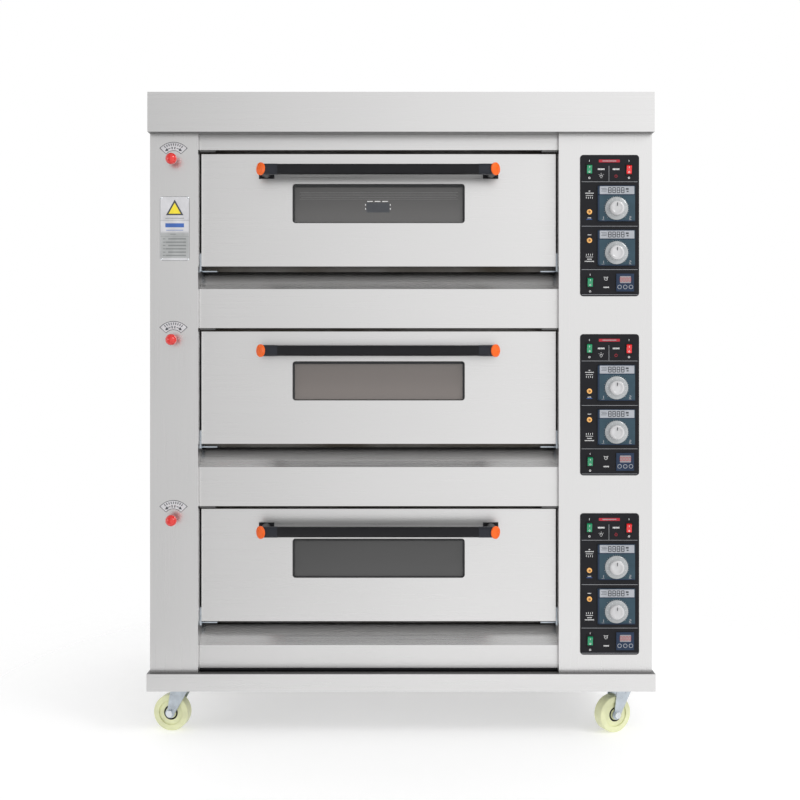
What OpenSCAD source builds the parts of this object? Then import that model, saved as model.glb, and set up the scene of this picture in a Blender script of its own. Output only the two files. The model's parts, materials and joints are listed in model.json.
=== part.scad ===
// Three-deck electric deck oven on four swivel castors.
// +X is to the right, +Y to the back and +Z up; the floor is z = 0.
// Inside placed(), y = 0 is the front face of the two columns.

/* [Body] */
// Width over the two columns
body_w = 1240; // [1100:5:1500]
// Depth from the column fronts to the rear face of the back panel
body_d = 785; // [650:5:1000]
// Thickness of the outer sheet metal
sheet = 1.5; // [1:0.1:2]
// Width of the left column, which holds the exhaust ducts
left_column_w = 118.5; // [118:0.5:160]
// Width of the control column
control_column_w = 230; // [220:1:300]
// Depth of the outer return of each column
outer_return = 25; // [15:1:40]
// Height of the base pan
base_h = 42.6; // [35:0.1:60]
// How far the base pan stands in front of the columns
base_front_lip = 18; // [10:1:40]
// How far the base pan stands out at each side
base_side_lip = 5; // [2:1:15]
// Height of the canopy
canopy_h = 97.5; // [60:0.5:150]
// How far the canopy stands in front of the columns
canopy_front_lip = 26; // [10:1:50]
// How far the canopy stands out at each side
canopy_side_lip = 1; // [0.5:0.5:4]
// Side of the square frame tube
tube = 25; // [20:1:30]
// Wall of the square frame tube
tube_wall = 2; // [1.5:0.5:3]
// Seam between two outer sheets
seam = 0.3; // [0.2:0.1:0.5]

/* [Doors] */
// Height of a door
door_h = 280; // [230:1:340]
// Gap between a door's end and the column beside it
door_side_gap = 3.75; // [3.5:0.05:6]
// Gap between a door's top and the fascia above it
fascia_gap = 8.5; // [6:0.5:15]
// Height of the band between one door's top and the next door's bottom
band_h = 162.5; // [150:0.5:220]
// Height from the base pan to the lowest door's bottom
sill_h = 119.5; // [100:0.5:180]
// Door front behind the column fronts
door_y = 28; // [26:1:32]
// Depth of the outer door skin
skin_d = 24; // [23:1:26]
// Depth of a whole door
door_d = 50; // [46:1:60]
// Hinge axis above the door's bottom
hinge_rise = 24; // [20:1:28]
// Hinge axis behind the door's front
hinge_back = 15; // [13:1:17]
// Radius of a hinge pin
pin_r = 4; // [3:0.5:5]
// Running clearance of every shaft in its bore, on the radius
running = 0.06; // [0.02:0.01:0.1]

/* [Window] */
// Width of the window opening
window_w = 430; // [300:5:520]
// Height of the window opening
window_h = 98; // [80:1:120]
// Corner radius of the window opening
window_r = 8; // [4:1:15]
// Window top below the door's top
window_drop = 74; // [70:1:90]
// Depth of the reveal in front of the glass
reveal_d = 10; // [6:1:12]
// How far the glass laps behind the opening
glass_lap = 10; // [8:1:14]
// Thickness of one glass pane
glass_t = 4; // [3:0.5:5]

/* [Handle] */
// Width of a handle over its end caps
handle_w = 596; // [400:2:700]
// Radius of the handle tube
handle_r = 13; // [10:0.5:14]
// Handle axis in front of the column fronts
handle_reach = 36; // [30:1:60]
// Handle axis below the door's top
handle_drop = 47.5; // [40:0.5:55]
// Radius of an end cap
cap_r = 15.5; // [14:0.5:17]

/* [Chamber] */
// Chamber wall inside the door opening, at each side
chamber_side = 25.75; // [20:0.25:40]
// Chamber floor above the door's bottom
floor_rise = 34; // [32:1:40]
// Chamber ceiling below the door's top
ceiling_drop = 16; // [14:1:24]
// Room between the chamber's back wall and the back panel
rear_room = 62; // [45:1:90]
// Thickness of the chamber liner
liner = 2; // [1:0.5:3]
// Top of the hearth above the door's bottom
hearth_rise = 59; // [56:1:70]
// Thickness of the hearth plate
hearth_t = 6; // [4:1:8]
// Radius of a heating element tube
element_r = 4; // [3:0.5:4.5]
// Hairpin elements above and below each hearth
hairpins = 3; // [1:1:4]

/* [Controls] */
// Width of a control plate
plate_w = 145.5; // [140:0.5:160]
// Height of a control plate
plate_h = 349; // [345:1:380]
// Thickness of a control plate
plate_t = 2; // [1.5:0.5:3]
// Width of a thermostat's face
thermostat_w = 92; // [80:1:96]
// Height of a thermostat's face
thermostat_h = 88; // [80:1:100]
// Radius of a thermostat dial
dial_r = 28.5; // [20:0.5:30]
// Width of a rocker switch's bezel
rocker_w = 17; // [15:0.5:20]
// Height of a rocker switch's bezel
rocker_h = 30; // [27:0.5:34]
// Tilt of a rocker to each side of its middle
rocker_tilt = 9; // [6:1:12]

/* [Exhaust] */
// Radius of the exhaust pipe
flue_r = 20; // [16:1:22]
// How far the outlet spigot stands out of the back
spigot = 30; // [20:1:60]
// How much larger the outlet spigot's radius is than the pipe's
spigot_step = 2.5; // [1:0.5:4]
// Radius of the damper knob
knob_r = 14; // [10:1:18]
// Knob centre in front of the column fronts
knob_reach = 30; // [25:1:40]

/* [Castors] */
// Height from the floor to the base pan
castor_h = 118.4; // [110:0.1:150]
// Radius of a wheel
wheel_r = 45; // [35:1:48]
// Width of a wheel
wheel_w = 30; // [20:1:36]
// Axle behind the swivel axis
trail = 24; // [15:1:30]
// Swivel axis from the middle of the oven
castor_x = 553; // [400:1:560]
// Swivel axis from the column fronts, and from the back
castor_inset = 60; // [50:1:120]

/* [Hidden] */
$fn = 48;
deck_names = ["lower", "middle", "upper"];
decks = [0:len(deck_names) - 1];
levels = ["lower", "upper"];
switch_names = ["light", "power", "timer"];
castor_names = ["front_left", "front_right", "rear_left", "rear_right"];

// Gap at a welded seam, which keeps each plate or tube a solid of its own
weld = 0.1;
// Overlap that joins two shapes into one solid
hair = 0.01;

// Heights
base_top = castor_h + base_h;
deck_pitch = door_h + band_h;
function door_z(deck) = base_top + sill_h + deck * deck_pitch;
wool_over_door = 20;
rail_clear = 1;
top_strip_h = wool_over_door + rail_clear + tube - fascia_gap;
canopy_z = door_z(2) + door_h + fascia_gap + top_strip_h;
overall_h = canopy_z + canopy_h;

// The door opening between the columns
side_x = body_w / 2;
open_x0 = left_column_w - side_x;
open_x1 = side_x - control_column_w;
door_x = (open_x0 + open_x1) / 2;
door_w = open_x1 - open_x0 - 2 * door_side_gap;
door_x0 = door_x - door_w / 2;
door_x1 = door_x + door_w / 2;

// The door in depth
hinge_y = door_y + hinge_back;
skin_back = door_y + skin_d;
pan_back = door_y + door_d;
door_seal = 1;
face_y = pan_back + door_seal;
liner_y = face_y + sheet;

// Fascias
fascia_y = 17;
slope = 45;
slope_drop = 12;

// Handle
cap_rim = 3;
cap_dome = 2.5;
mitre = 8;
sleeve_l = 34;
handle_x = handle_w / 2 - (mitre + cap_rim + cap_r) / sqrt(2);
handle_front = handle_reach + (mitre + cap_rim + cap_r) / sqrt(2);

// Middle of the oven in depth, with its handles and spigots
front_y = (round(handle_front) - body_d - spigot) / 2;

// Chamber
chamber_x0 = open_x0 + chamber_side;
chamber_x1 = open_x1 - chamber_side;
chamber_y1 = body_d - rear_room;
chamber_h = door_h - floor_rise - ceiling_drop;
mouth_z0 = hearth_rise - 1;
mouth_z1 = door_h - ceiling_drop - 22;

// Frame
post_x = side_x - sheet - seam - 2.2 - tube;
front_rail_y = liner_y + sheet;
rear_rail_y = chamber_y1 - tube;
gear_y = front_rail_y + tube + 2;

// Insulation
wool_gap = 0.5;
wool_under = 48;
wool_rear = rear_room - liner - sheet - 4;

// Heating elements
element_lift = 7;
element_drop = 12;
leg_half = floor((chamber_y1 - liner_y) / (4 * hairpins));
function hairpin_y(i) = liner_y + (2 * i + 1) * 2 * leg_half;
element_gap = 0.3;
bead_x = open_x1 + wool_gap;
bead_l = 8;

// Lamp
lamp_y = hairpin_y(0);
lamp_rise = 150;
lamp_r = 28;
lamp_neck_r = 22;

// Exhaust
damper_x = 58 - side_x;
damper_drop = 20.5;
shaft_r = 4;
shutter_arm = 30;
shutter_r = flue_r + 2;
plenum_y0 = 120;
plenum_y1 = 210;
plenum_x0 = damper_x - shutter_r - 4.5;
plenum_x1 = open_x0 - sheet;
port_y = 150;
function damper_z(deck) = door_z(deck) + door_h - damper_drop;
function flue_z(deck) = damper_z(deck) - shutter_arm;

// Controls, from the top left corner of a control plate
plate_x = open_x1 + 52.4;
plate_drop = 6.8;
plate_r = 8;
thermostat_u = 89;
thermostat_v = [229.4, 120];
dial_below = 12.4;
rocker_uv = [[22.7, 35.3], [120.5, 36.1], [24.5, 314.7]];
lamp_uv = [[22.7, 140.7], [22.7, 211.3]];
indicator_r = 6.3;
timer_uv = [110.7, 315.2];
timer_size = 43.8;
thermostat_d = 62;
bezel = 2.5;
cutout_gap = 0.3;
function plate_x_at(u) = plate_x + u;
function plate_z_at(deck, v) = door_z(deck) + door_h - plate_drop - v;
rocker_r = rocker_h / 2 - 3.8;
rocker_half_w = rocker_w / 2 - 2.3;
rocker_y = 2 - plate_t;
trunnion_r = 1.5;
trunnion_l = 1;
dial_shaft_r = 3;
dial_y = -plate_t - bezel;

// Hinge brackets
ear_t = 2.5;
foot_w = 38;
pin_in = 60;
sleeve_in = 25;
sleeve_wall = 3;
spring_wire = 1.5;
spring_turns = 6;

// Castors
castor_plate = [90, 70, 3];
ring_h = 4;
ring_r = 22;
kingpin_r = 6;
crown_h = 7;
fork_t = 3;
fork_gap = 1.5;
axle_r = 5;
yaws = [-10, 25, 15, -20];
function castor_side(i) = i % 2 == 0 ? -1 : 1;
function castor_y(i) = i < 2 ? castor_inset : body_d - castor_inset;

// Back panel
gland_x = 540;
gland_rise = 70;
gland_r = 16;
cable_r = 9;

module placed() {
    translate([0, front_y, 0]) children();
}

// A block between two values on each axis
module block(x, y, z) {
    translate([x[0], y[0], z[0]])
        cube([x[1] - x[0], y[1] - y[0], z[1] - z[0]]);
}

// A round bar along X, between two values of x
module bar_x(x, y, z, r) {
    translate([x[0], y, z]) rotate([0, 90, 0]) cylinder(r = r, h = x[1] - x[0]);
}

// A round bar along Y, between two values of y
module bar_y(x, y, z, r) {
    translate([x, y[0], z]) rotate([-90, 0, 0]) cylinder(r = r, h = y[1] - y[0]);
}

module rounded_rect(w, h, r) {
    square([w - 2 * r, h], center = true);
    square([w, h - 2 * r], center = true);
    for (sx = [-1, 1]) {
        for (sy = [-1, 1]) {
            translate([sx * (w / 2 - r), sy * (h / 2 - r)]) circle(r = r);
        }
    }
}

// A rounded plate that faces the front, between two values of y
module front_plate(x, y, z, w, h, r) {
    translate([x, y[0], z]) rotate([-90, 0, 0])
        linear_extrude(y[1] - y[0]) rounded_rect(w, h, r);
}

// A square tube along one axis: 0 is X, 1 is Y, 2 is Z
module square_tube(at, length, axis) {
    outer = [for (i = [0:2]) i == axis ? length : tube];
    inner = [for (i = [0:2]) i == axis ? length + 2 : tube - 2 * tube_wall];
    shift = [for (i = [0:2]) i == axis ? -1 : tube_wall];
    translate(at) difference() {
        cube(outer);
        translate(shift) cube(inner);
    }
}

module canopy() {
    x = side_x + canopy_side_lip;
    lip = 20;
    color("silver") placed() difference() {
        block([-x, x], [-canopy_front_lip, body_d], [canopy_z, overall_h]);
        block([sheet - x, x - sheet], [sheet - canopy_front_lip, body_d - sheet],
            [canopy_z + sheet, overall_h - sheet]);
        block([lip - x, x - lip], [lip, body_d - lip], [canopy_z - 1, canopy_z + 2 * sheet]);
    }
}

module left_column() {
    z = [base_top, canopy_z];
    color("silver") placed() difference() {
        union() {
            block([-side_x, open_x0], [0, sheet], z);
            block([-side_x, sheet - side_x], [0, outer_return], z);
            block([open_x0 - sheet, open_x0], [0, face_y], z);
        }
        for (deck = decks) {
            bar_y(damper_x, [-1, sheet + 1], damper_z(deck), shaft_r + 0.5);
        }
    }
}

module control_column() {
    z = [base_top, canopy_z];
    margin = 7;
    color("silver") placed() difference() {
        union() {
            block([open_x1, side_x], [0, sheet], z);
            block([side_x - sheet, side_x], [0, outer_return], z);
            block([open_x1, open_x1 + sheet], [0, face_y], z);
        }
        for (deck = decks) {
            block([plate_x + margin, plate_x + plate_w - margin], [-1, sheet + 1],
                [plate_z_at(deck, plate_h - margin), plate_z_at(deck, margin)]);
        }
    }
}

// The left panel; its front edge steps inwards behind the column's return
module left_side_panel() {
    z = [base_top, canopy_z];
    tongue_x = sheet - side_x + seam;
    front = outer_return + seam;
    block([-side_x, sheet - side_x], [front, body_d - sheet - seam], z);
    block([-side_x, tongue_x + sheet], [front, front + sheet], z);
    block([tongue_x, tongue_x + sheet], [front - 12, front + sheet], z);
}

module side_panels() {
    color("gainsboro") placed() {
        left_side_panel();
        mirror([1, 0, 0]) left_side_panel();
    }
}

module back_panel() {
    louvre_w = 130;
    louvre_h = 5;
    louvres = 8;
    color("gainsboro") placed() difference() {
        block([-side_x, side_x], [body_d - sheet, body_d], [base_top, canopy_z]);
        for (deck = decks) {
            bar_y(damper_x, [body_d - sheet - 1, body_d + 1], flue_z(deck), flue_r + seam);
            for (i = [0:louvres - 1]) {
                translate([side_x - 110, body_d - 5, door_z(deck) + 100 + 14 * i])
                    cube([louvre_w, 10, louvre_h], center = true);
            }
        }
        bar_y(gland_x, [body_d - sheet - 1, body_d + 1], base_top + gland_rise,
            gland_r + seam);
    }
}

// The C channels of the base, and the floor plate under their top lips
module base_pan() {
    x = side_x + base_side_lip;
    wall = 2;
    side_w = x - castor_x + 55;
    end_w = 25;
    top_lip = 20 + base_front_lip;
    z = [castor_h, base_top];
    color("silver") placed() {
        for (s = [0, 1]) mirror([s, 0, 0]) difference() {
            block([-x, side_w - x],
                [end_w - base_front_lip + weld, body_d - end_w - weld], z);
            block([wall - x, side_w - x + 1], [0, body_d],
                [castor_h + wall, base_top - wall]);
            block([top_lip - x, side_w - x + 1], [0, body_d],
                [castor_h + 2 * wall, base_top + 1]);
        }
        difference() {
            block([-x, x], [-base_front_lip, end_w - base_front_lip], z);
            block([wall - x, x - wall], [wall - base_front_lip, end_w],
                [castor_h + wall, base_top - wall]);
        }
        difference() {
            block([-x, x], [body_d - end_w, body_d], z);
            block([wall - x, x - wall], [0, body_d - wall],
                [castor_h + wall, base_top - wall]);
        }
        block([2 * wall - x, x - 2 * wall],
            [end_w - base_front_lip + weld, body_d - end_w - weld],
            [base_top - 2 * wall - weld, base_top - wall - weld]);
    }
}

// One folded fascia: a lip below, a front face, a slope and a flange at the top
module fascia(z0, z1) {
    fold = z1 - slope;
    s = sheet;
    c = s * (sqrt(2) - 1);
    outline = [
        [face_y, z0], [fascia_y, z0], [fascia_y, fold], [fascia_y + slope, z1],
        [face_y, z1], [face_y, z1 - s], [fascia_y + slope + c, z1 - s],
        [fascia_y + s, fold - c], [fascia_y + s, z0 + s], [face_y, z0 + s]
    ];
    translate([open_x0 + seam, 0, 0]) rotate([90, 0, 90])
        linear_extrude(open_x1 - open_x0 - 2 * seam) polygon(outline);
}

module front_fascias() {
    x = [open_x0 + seam, open_x1 - seam];
    top_z = canopy_z - top_strip_h;
    color("silver") placed() {
        fascia(base_top, door_z(0) - slope_drop);
        for (deck = [1, 2]) {
            fascia(door_z(deck - 1) + door_h + fascia_gap, door_z(deck) - slope_drop);
        }
        difference() {
            block(x, [fascia_y, face_y], [top_z, canopy_z]);
            block([x[0] - 1, x[1] + 1], [fascia_y + sheet, face_y + 1],
                [top_z + sheet, canopy_z + 1]);
        }
    }
}

module main_frame() {
    span = 2 * (post_x - weld);
    side_y = front_rail_y + tube + weld;
    side_span = rear_rail_y - weld - side_y;
    rail_drop = floor_rise - liner - tube;
    color("dimgray") placed() {
        for (x = [-post_x - tube, post_x]) {
            for (y = [front_rail_y, rear_rail_y]) {
                square_tube([x, y, base_top], canopy_z - base_top, 2);
            }
            for (deck = decks) {
                square_tube([x, side_y, door_z(deck) + rail_drop], side_span, 1);
            }
            square_tube([x, side_y, canopy_z - tube], side_span, 1);
        }
        for (y = [front_rail_y, rear_rail_y]) {
            for (deck = decks) {
                square_tube([weld - post_x, y, door_z(deck) + rail_drop], span, 0);
            }
            square_tube([weld - post_x, y, canopy_z - tube], span, 0);
        }
        for (deck = decks) {
            block([open_x1 + 10, post_x - 6], [side_y, gear_y],
                [door_z(deck) + rail_drop, door_z(deck) + 210]);
        }
    }
}

// The holes that the elements and the lamp need through the right wall of one deck
module right_wall_holes(deck, x) {
    for (i = [0:hairpins - 1]) {
        for (side = [-1, 1]) {
            for (z = [floor_rise + element_lift, door_h - ceiling_drop - element_drop]) {
                bar_x(x, hairpin_y(i) + side * leg_half, door_z(deck) + z,
                    element_r + element_gap);
            }
        }
    }
    bar_x(x, lamp_y, door_z(deck) + lamp_rise, lamp_neck_r + element_gap);
}

module oven_chambers() {
    ledge = 15;
    color("darkgray") placed() for (deck = decks) translate([0, 0, door_z(deck)]) {
        z0 = floor_rise - liner;
        z1 = floor_rise + chamber_h + liner;
        y = [liner_y + weld, chamber_y1 - weld];
        x = [chamber_x0, chamber_x1];
        inside = [x[0] + weld, x[1] - weld];
        block(inside, y, [z0, floor_rise]);
        block(inside, y, [z1 - liner, z1]);
        block([x[0] - liner, x[1] + liner], [chamber_y1, chamber_y1 + liner], [z0, z1]);
        difference() {
            block([x[0] - liner, x[0]], y, [z0, z1]);
            bar_x([x[0] - liner - 1, x[0] + 1], port_y, flue_z(deck) - door_z(deck),
                flue_r + element_gap);
        }
        difference() {
            block([x[1], x[1] + liner], y, [z0, z1]);
            translate([0, 0, -door_z(deck)])
                right_wall_holes(deck, [x[1] - 1, x[1] + liner + 1]);
        }
        for (lx = [inside[0], inside[1] - ledge]) {
            block([lx, lx + ledge], [y[0] + 5, y[1] - 5],
                [hearth_rise - hearth_t - 6, hearth_rise - hearth_t]);
        }
        face = [face_y, liner_y];
        block([open_x0 - sheet, open_x1 + sheet], face, [-slope_drop, mouth_z0]);
        block([open_x0 - sheet, open_x1 + sheet], face, [mouth_z1, door_h + fascia_gap]);
        block([open_x0 - sheet, x[0]], face, [mouth_z0 + weld, mouth_z1 - weld]);
        block([x[1], open_x1 + sheet], face, [mouth_z0 + weld, mouth_z1 - weld]);
    }
}

module hearth_plates() {
    gap = 2;
    color("slategray") placed() for (deck = decks) {
        block([chamber_x0 + gap, chamber_x1 - gap], [liner_y + gap, chamber_y1 - gap],
            [door_z(deck) + hearth_rise - hearth_t, door_z(deck) + hearth_rise]);
    }
}

// One hairpin element with its two terminals outside the right wall
module hairpin(y, z) {
    bend_x = chamber_x0 + 30 + leg_half;
    for (side = [-1, 1]) {
        leg_y = y + side * leg_half;
        bar_x([bend_x, bead_x + bead_l - 1], leg_y, z, element_r);
        bar_x([bead_x, bead_x + bead_l], leg_y, z, element_r + 3);
        bar_x([bead_x + bead_l - 1, bead_x + 2 * bead_l], leg_y, z, element_r / 2);
    }
    translate([bend_x, y, z]) rotate([0, 0, 90]) rotate_extrude(angle = 180)
        translate([leg_half, 0]) circle(r = element_r);
}

module heating_elements() {
    color("dimgray") placed() for (deck = decks) {
        for (i = [0:hairpins - 1]) {
            hairpin(hairpin_y(i), door_z(deck) + floor_rise + element_lift);
            hairpin(hairpin_y(i), door_z(deck) + door_h - ceiling_drop - element_drop);
        }
    }
}

module insulation_blocks() {
    y0 = liner_y + wool_gap;
    y1 = chamber_y1 + liner;
    x = [open_x0, open_x1];
    color("khaki") placed() for (deck = decks) translate([0, 0, door_z(deck)]) {
        z0 = floor_rise - liner;
        z1 = door_h - ceiling_drop + liner;
        block(x, [gear_y + wool_gap, rear_rail_y - wool_gap],
            [z0 - wool_under, z0 - wool_gap]);
        block(x, [y0, y1], [z1 + wool_gap, door_h + wool_over_door]);
        block(x, [y1 + wool_gap, y1 + wool_rear], [z0, door_h + wool_over_door]);
        difference() {
            block([x[0], chamber_x0 - liner - wool_gap], [y0, y1], [z0, z1]);
            bar_x([x[0] - 1, chamber_x0], port_y, flue_z(deck) - door_z(deck),
                flue_r + element_gap);
        }
        difference() {
            block([chamber_x1 + liner + wool_gap, x[1]], [y0, y1], [z0, z1]);
            translate([0, 0, -door_z(deck)])
                right_wall_holes(deck, [chamber_x1, x[1] + 1]);
        }
    }
}

// A glass cover inside the chamber, on a neck that carries the socket
module chamber_lamps() {
    color("lightyellow") placed() for (deck = decks) {
        translate([chamber_x1, lamp_y, door_z(deck) + lamp_rise]) rotate([0, 90, 0]) {
            translate([0, 0, -4]) cylinder(r = lamp_r, h = 4);
            intersection() {
                translate([0, 0, -16]) cylinder(r = lamp_r - 2, h = 13);
                translate([0, 0, 18]) sphere(r = 34);
            }
            cylinder(r = lamp_neck_r, h = chamber_side + 12);
        }
    }
}

module exhaust_ducts() {
    s = sheet;
    port_x1 = chamber_x0;
    color("lightgray") placed() for (deck = decks) {
        z = flue_z(deck);
        z0 = z - shutter_r - 4;
        z1 = damper_z(deck) + shutter_r + 4;
        difference() {
            union() {
                block([plenum_x0, plenum_x1], [plenum_y0, plenum_y1], [z0, z1]);
                bar_x([plenum_x1 - hair, port_x1], port_y, z, flue_r);
            }
            block([plenum_x0 + s, plenum_x1 - s], [plenum_y0 + s, plenum_y1 - s],
                [z0 + s, z1 - s]);
            bar_x([plenum_x1 - s - 1, port_x1 + 1], port_y, z, flue_r - s);
            bar_y(damper_x, [plenum_y0 - 1, plenum_y1 + 1], damper_z(deck),
                shaft_r + running);
            bar_y(damper_x, [plenum_y1 - s - 1, plenum_y1 + 1], z, flue_r - s);
        }
        difference() {
            union() {
                bar_y(damper_x, [plenum_y1 + weld, body_d + spigot / 2], z, flue_r);
                bar_y(damper_x, [body_d + seam, body_d + spigot], z, flue_r + spigot_step);
            }
            bar_y(damper_x, [plenum_y1, body_d + spigot + 1], z, flue_r - s);
        }
    }
}

// A damper: ball knob, shaft and the shutter that covers the flue
module damper(deck) {
    shutter_y = plenum_y1 - sheet - 0.3;
    shutter_t = 2;
    z = damper_z(deck);
    color("crimson") placed() {
        translate([damper_x, -knob_reach, z]) sphere(r = knob_r);
        bar_y(damper_x, [-knob_reach, -knob_reach + knob_r + 5], z, shaft_r + 2);
        bar_y(damper_x, [-knob_reach, plenum_y1], z, shaft_r);
        bar_y(damper_x, [shutter_y - 8, shutter_y], z, shaft_r + 3);
        bar_y(damper_x, [shutter_y - shutter_t, shutter_y], flue_z(deck), shutter_r);
        block([damper_x - 6, damper_x + 6], [shutter_y - shutter_t, shutter_y],
            [flue_z(deck), z]);
    }
}

// A bracket at a door's left end, with its pin and its torsion spring
module hinge_bracket(deck) {
    z = door_z(deck);
    axis_z = z + hinge_rise;
    block([open_x0, open_x0 + ear_t], [hinge_y - 9, face_y], [z - slope_drop, axis_z + 9]);
    block([open_x0, open_x0 + foot_w], [fascia_y + slope - 3, face_y],
        [z - slope_drop, z - slope_drop + 3]);
    bar_x([open_x0, open_x0 + pin_in], hinge_y, axis_z, pin_r);
    spring_x = door_x0 + sheet + sleeve_in + 4;
    translate([spring_x, hinge_y, axis_z]) rotate([0, 90, 0]) rotate_extrude()
        for (i = [0:spring_turns - 1]) {
            translate([pin_r + 0.3 + spring_wire, i * 1.86 * spring_wire])
                circle(r = spring_wire);
        }
}

module hinge_brackets() {
    color("gray") placed() for (deck = decks) {
        hinge_bracket(deck);
        translate([2 * door_x, 0, 0]) mirror([1, 0, 0]) hinge_bracket(deck);
    }
}

window_z = door_h - window_drop - window_h / 2;
glass_w = window_w + 2 * glass_lap;
glass_h = window_h + 2 * glass_lap;
tunnel_gap = 1;

// The window opening as a plain rectangle, larger by a margin all round
module window_block(margin, y) {
    block([door_x - window_w / 2 - margin, door_x + window_w / 2 + margin], y,
        [window_z - window_h / 2 - margin, window_z + window_h / 2 + margin]);
}

// The outer skin of a door, with the reveal of its window and its hinge sleeves
module door_skin() {
    s = sheet;
    difference() {
        union() {
            difference() {
                block([door_x0, door_x1], [door_y, skin_back], [0, door_h]);
                block([door_x0 + s, door_x1 - s], [door_y + s, skin_back + 1], [s, door_h - s]);
            }
            front_plate(door_x, [door_y + hair, door_y + reveal_d], window_z,
                window_w + 2 * s, window_h + 2 * s, window_r + s);
            for (x = [[door_x0 + hair, door_x0 + s + sleeve_in],
                    [door_x1 - s - sleeve_in, door_x1 - hair]]) {
                bar_x(x, hinge_y, hinge_rise, pin_r + sleeve_wall);
            }
        }
        front_plate(door_x, [door_y - 1, door_y + reveal_d + 1], window_z,
            window_w, window_h, window_r);
        bar_x([door_x0 - 1, door_x1 + 1], hinge_y, hinge_rise, pin_r + running);
    }
}

pan_x = door_w / 2 - 9;
pan_z0 = 40;
pan_z1 = door_h - 8;

// The inner pan of a door, with the tunnel that carries the two panes
module door_pan() {
    s = sheet;
    difference() {
        union() {
            block([door_x0, door_x1], [skin_back, skin_back + s], [0, door_h]);
            block([door_x - pan_x, door_x + pan_x], [skin_back, pan_back], [pan_z0, pan_z1]);
        }
        difference() {
            block([door_x - pan_x + s, door_x + pan_x - s], [skin_back - 1, pan_back - s],
                [pan_z0 + s, pan_z1 - s]);
            window_block(glass_lap + tunnel_gap + s, [skin_back - 2, pan_back]);
        }
        window_block(glass_lap + tunnel_gap, [skin_back - 1, pan_back - s]);
        front_plate(door_x, [pan_back - s - 1, pan_back + 1], window_z,
            window_w, window_h, window_r);
    }
    difference() {
        window_block(glass_lap + tunnel_gap + s, [door_y + 2 * s, skin_back + hair]);
        window_block(glass_lap + tunnel_gap, [door_y + s, skin_back + 1]);
    }
}

module door_casing(deck) {
    s = sheet;
    outer_glass_back = door_y + reveal_d + glass_t;
    inner_glass_front = pan_back - s - glass_t;
    color("gainsboro") placed() translate([0, 0, door_z(deck)]) {
        door_skin();
        door_pan();
        difference() {
            window_block(glass_lap, [outer_glass_back, inner_glass_front]);
            window_block(glass_lap - s, [outer_glass_back - 1, inner_glass_front + 1]);
        }
    }
}

module door_wool(deck) {
    gap = 0.5;
    color("khaki") placed() translate([0, 0, door_z(deck)]) difference() {
        block([door_x - pan_x + sheet + gap, door_x + pan_x - sheet - gap],
            [door_y + sheet + gap, pan_back - sheet - gap],
            [pan_z0 + sheet + gap, pan_z1 - sheet - gap]);
        window_block(glass_lap + tunnel_gap + sheet + gap, [door_y, pan_back]);
    }
}

module door_window(deck) {
    y0 = door_y + reveal_d;
    y1 = pan_back - sheet - glass_t;
    color("darkslategray", 0.6) placed() translate([0, 0, door_z(deck)]) {
        window_block(glass_lap, [y0, y0 + glass_t]);
        window_block(glass_lap, [y1, y1 + glass_t]);
    }
}

// The right end of a handle: foot, arm, mitred elbow, sleeve and cap
module handle_end() {
    r = handle_r;
    foot = [38, 4, 28];
    dome_r = (cap_r * cap_r + cap_dome * cap_dome) / (2 * cap_dome);
    cap_h = cap_rim + cap_dome;
    difference() {
        union() {
            bar_y(0, [-handle_reach, door_y - foot[1]], 0, r);
            translate([0, -handle_reach, 0]) sphere(r = r);
            bar_x([-sleeve_l, 0], -handle_reach, 0, r + 0.5);
            block([-foot[0] / 2, foot[0] / 2], [door_y - foot[1] - hair, door_y],
                [-foot[2] / 2, foot[2] / 2]);
        }
        translate([0, -handle_reach, 0]) rotate([0, 0, 45]) rotate([90, 0, 0])
            translate([0, 0, mitre]) cylinder(r = 3 * r, h = 2 * r);
    }
    translate([0, -handle_reach, 0]) rotate([0, 0, 45]) rotate([90, 0, 0])
        translate([0, 0, mitre]) intersection() {
            cylinder(r = cap_r, h = cap_h);
            translate([0, 0, cap_h - dome_r]) sphere(r = dome_r);
        }
}

module door_handle(deck) {
    z = door_z(deck) + door_h - handle_drop;
    color("dimgray") placed() translate([door_x, 0, z]) {
        for (s = [0, 1]) mirror([s, 0, 0]) translate([handle_x, 0, 0]) handle_end();
        bar_x([-handle_x, handle_x], -handle_reach, 0, handle_r);
    }
}

// A rectangular cut or block around a point on a control plate
module plate_block(deck, uv, w, h, y) {
    x = plate_x_at(uv[0]);
    z = plate_z_at(deck, uv[1]);
    block([x - w / 2, x + w / 2], y, [z - h / 2, z + h / 2]);
}

module control_plates() {
    y = [-plate_t - 1, 1];
    lap = 2;
    color([0.15, 0.15, 0.16]) placed() for (deck = decks) difference() {
        front_plate(plate_x_at(plate_w / 2), [-plate_t, 0], plate_z_at(deck, plate_h / 2),
            plate_w, plate_h, plate_r);
        for (v = thermostat_v) {
            plate_block(deck, [thermostat_u, v], thermostat_w - 2 * lap,
                thermostat_h - 2 * lap, y);
        }
        for (uv = rocker_uv) {
            plate_block(deck, uv, rocker_w - lap, rocker_h - lap, y);
        }
        for (uv = lamp_uv) {
            bar_y(plate_x_at(uv[0]), y, plate_z_at(deck, uv[1]), indicator_r - 1);
        }
        plate_block(deck, timer_uv, timer_size - 2 * lap, timer_size - 2 * lap, y);
    }
}

module thermostat_bodies() {
    lap = 2 + cutout_gap;
    color([0.24, 0.31, 0.36]) placed() for (deck = decks) for (v = thermostat_v) {
        z = plate_z_at(deck, v + dial_below);
        difference() {
            union() {
                plate_block(deck, [thermostat_u, v], thermostat_w, thermostat_h,
                    [-plate_t - bezel, -plate_t]);
                plate_block(deck, [thermostat_u, v], thermostat_w - 2 * lap,
                    thermostat_h - 2 * lap, [-plate_t - hair, thermostat_d]);
            }
            bar_y(plate_x_at(thermostat_u), [-plate_t - bezel - 1, 10], z,
                dial_shaft_r + running);
        }
    }
}

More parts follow.
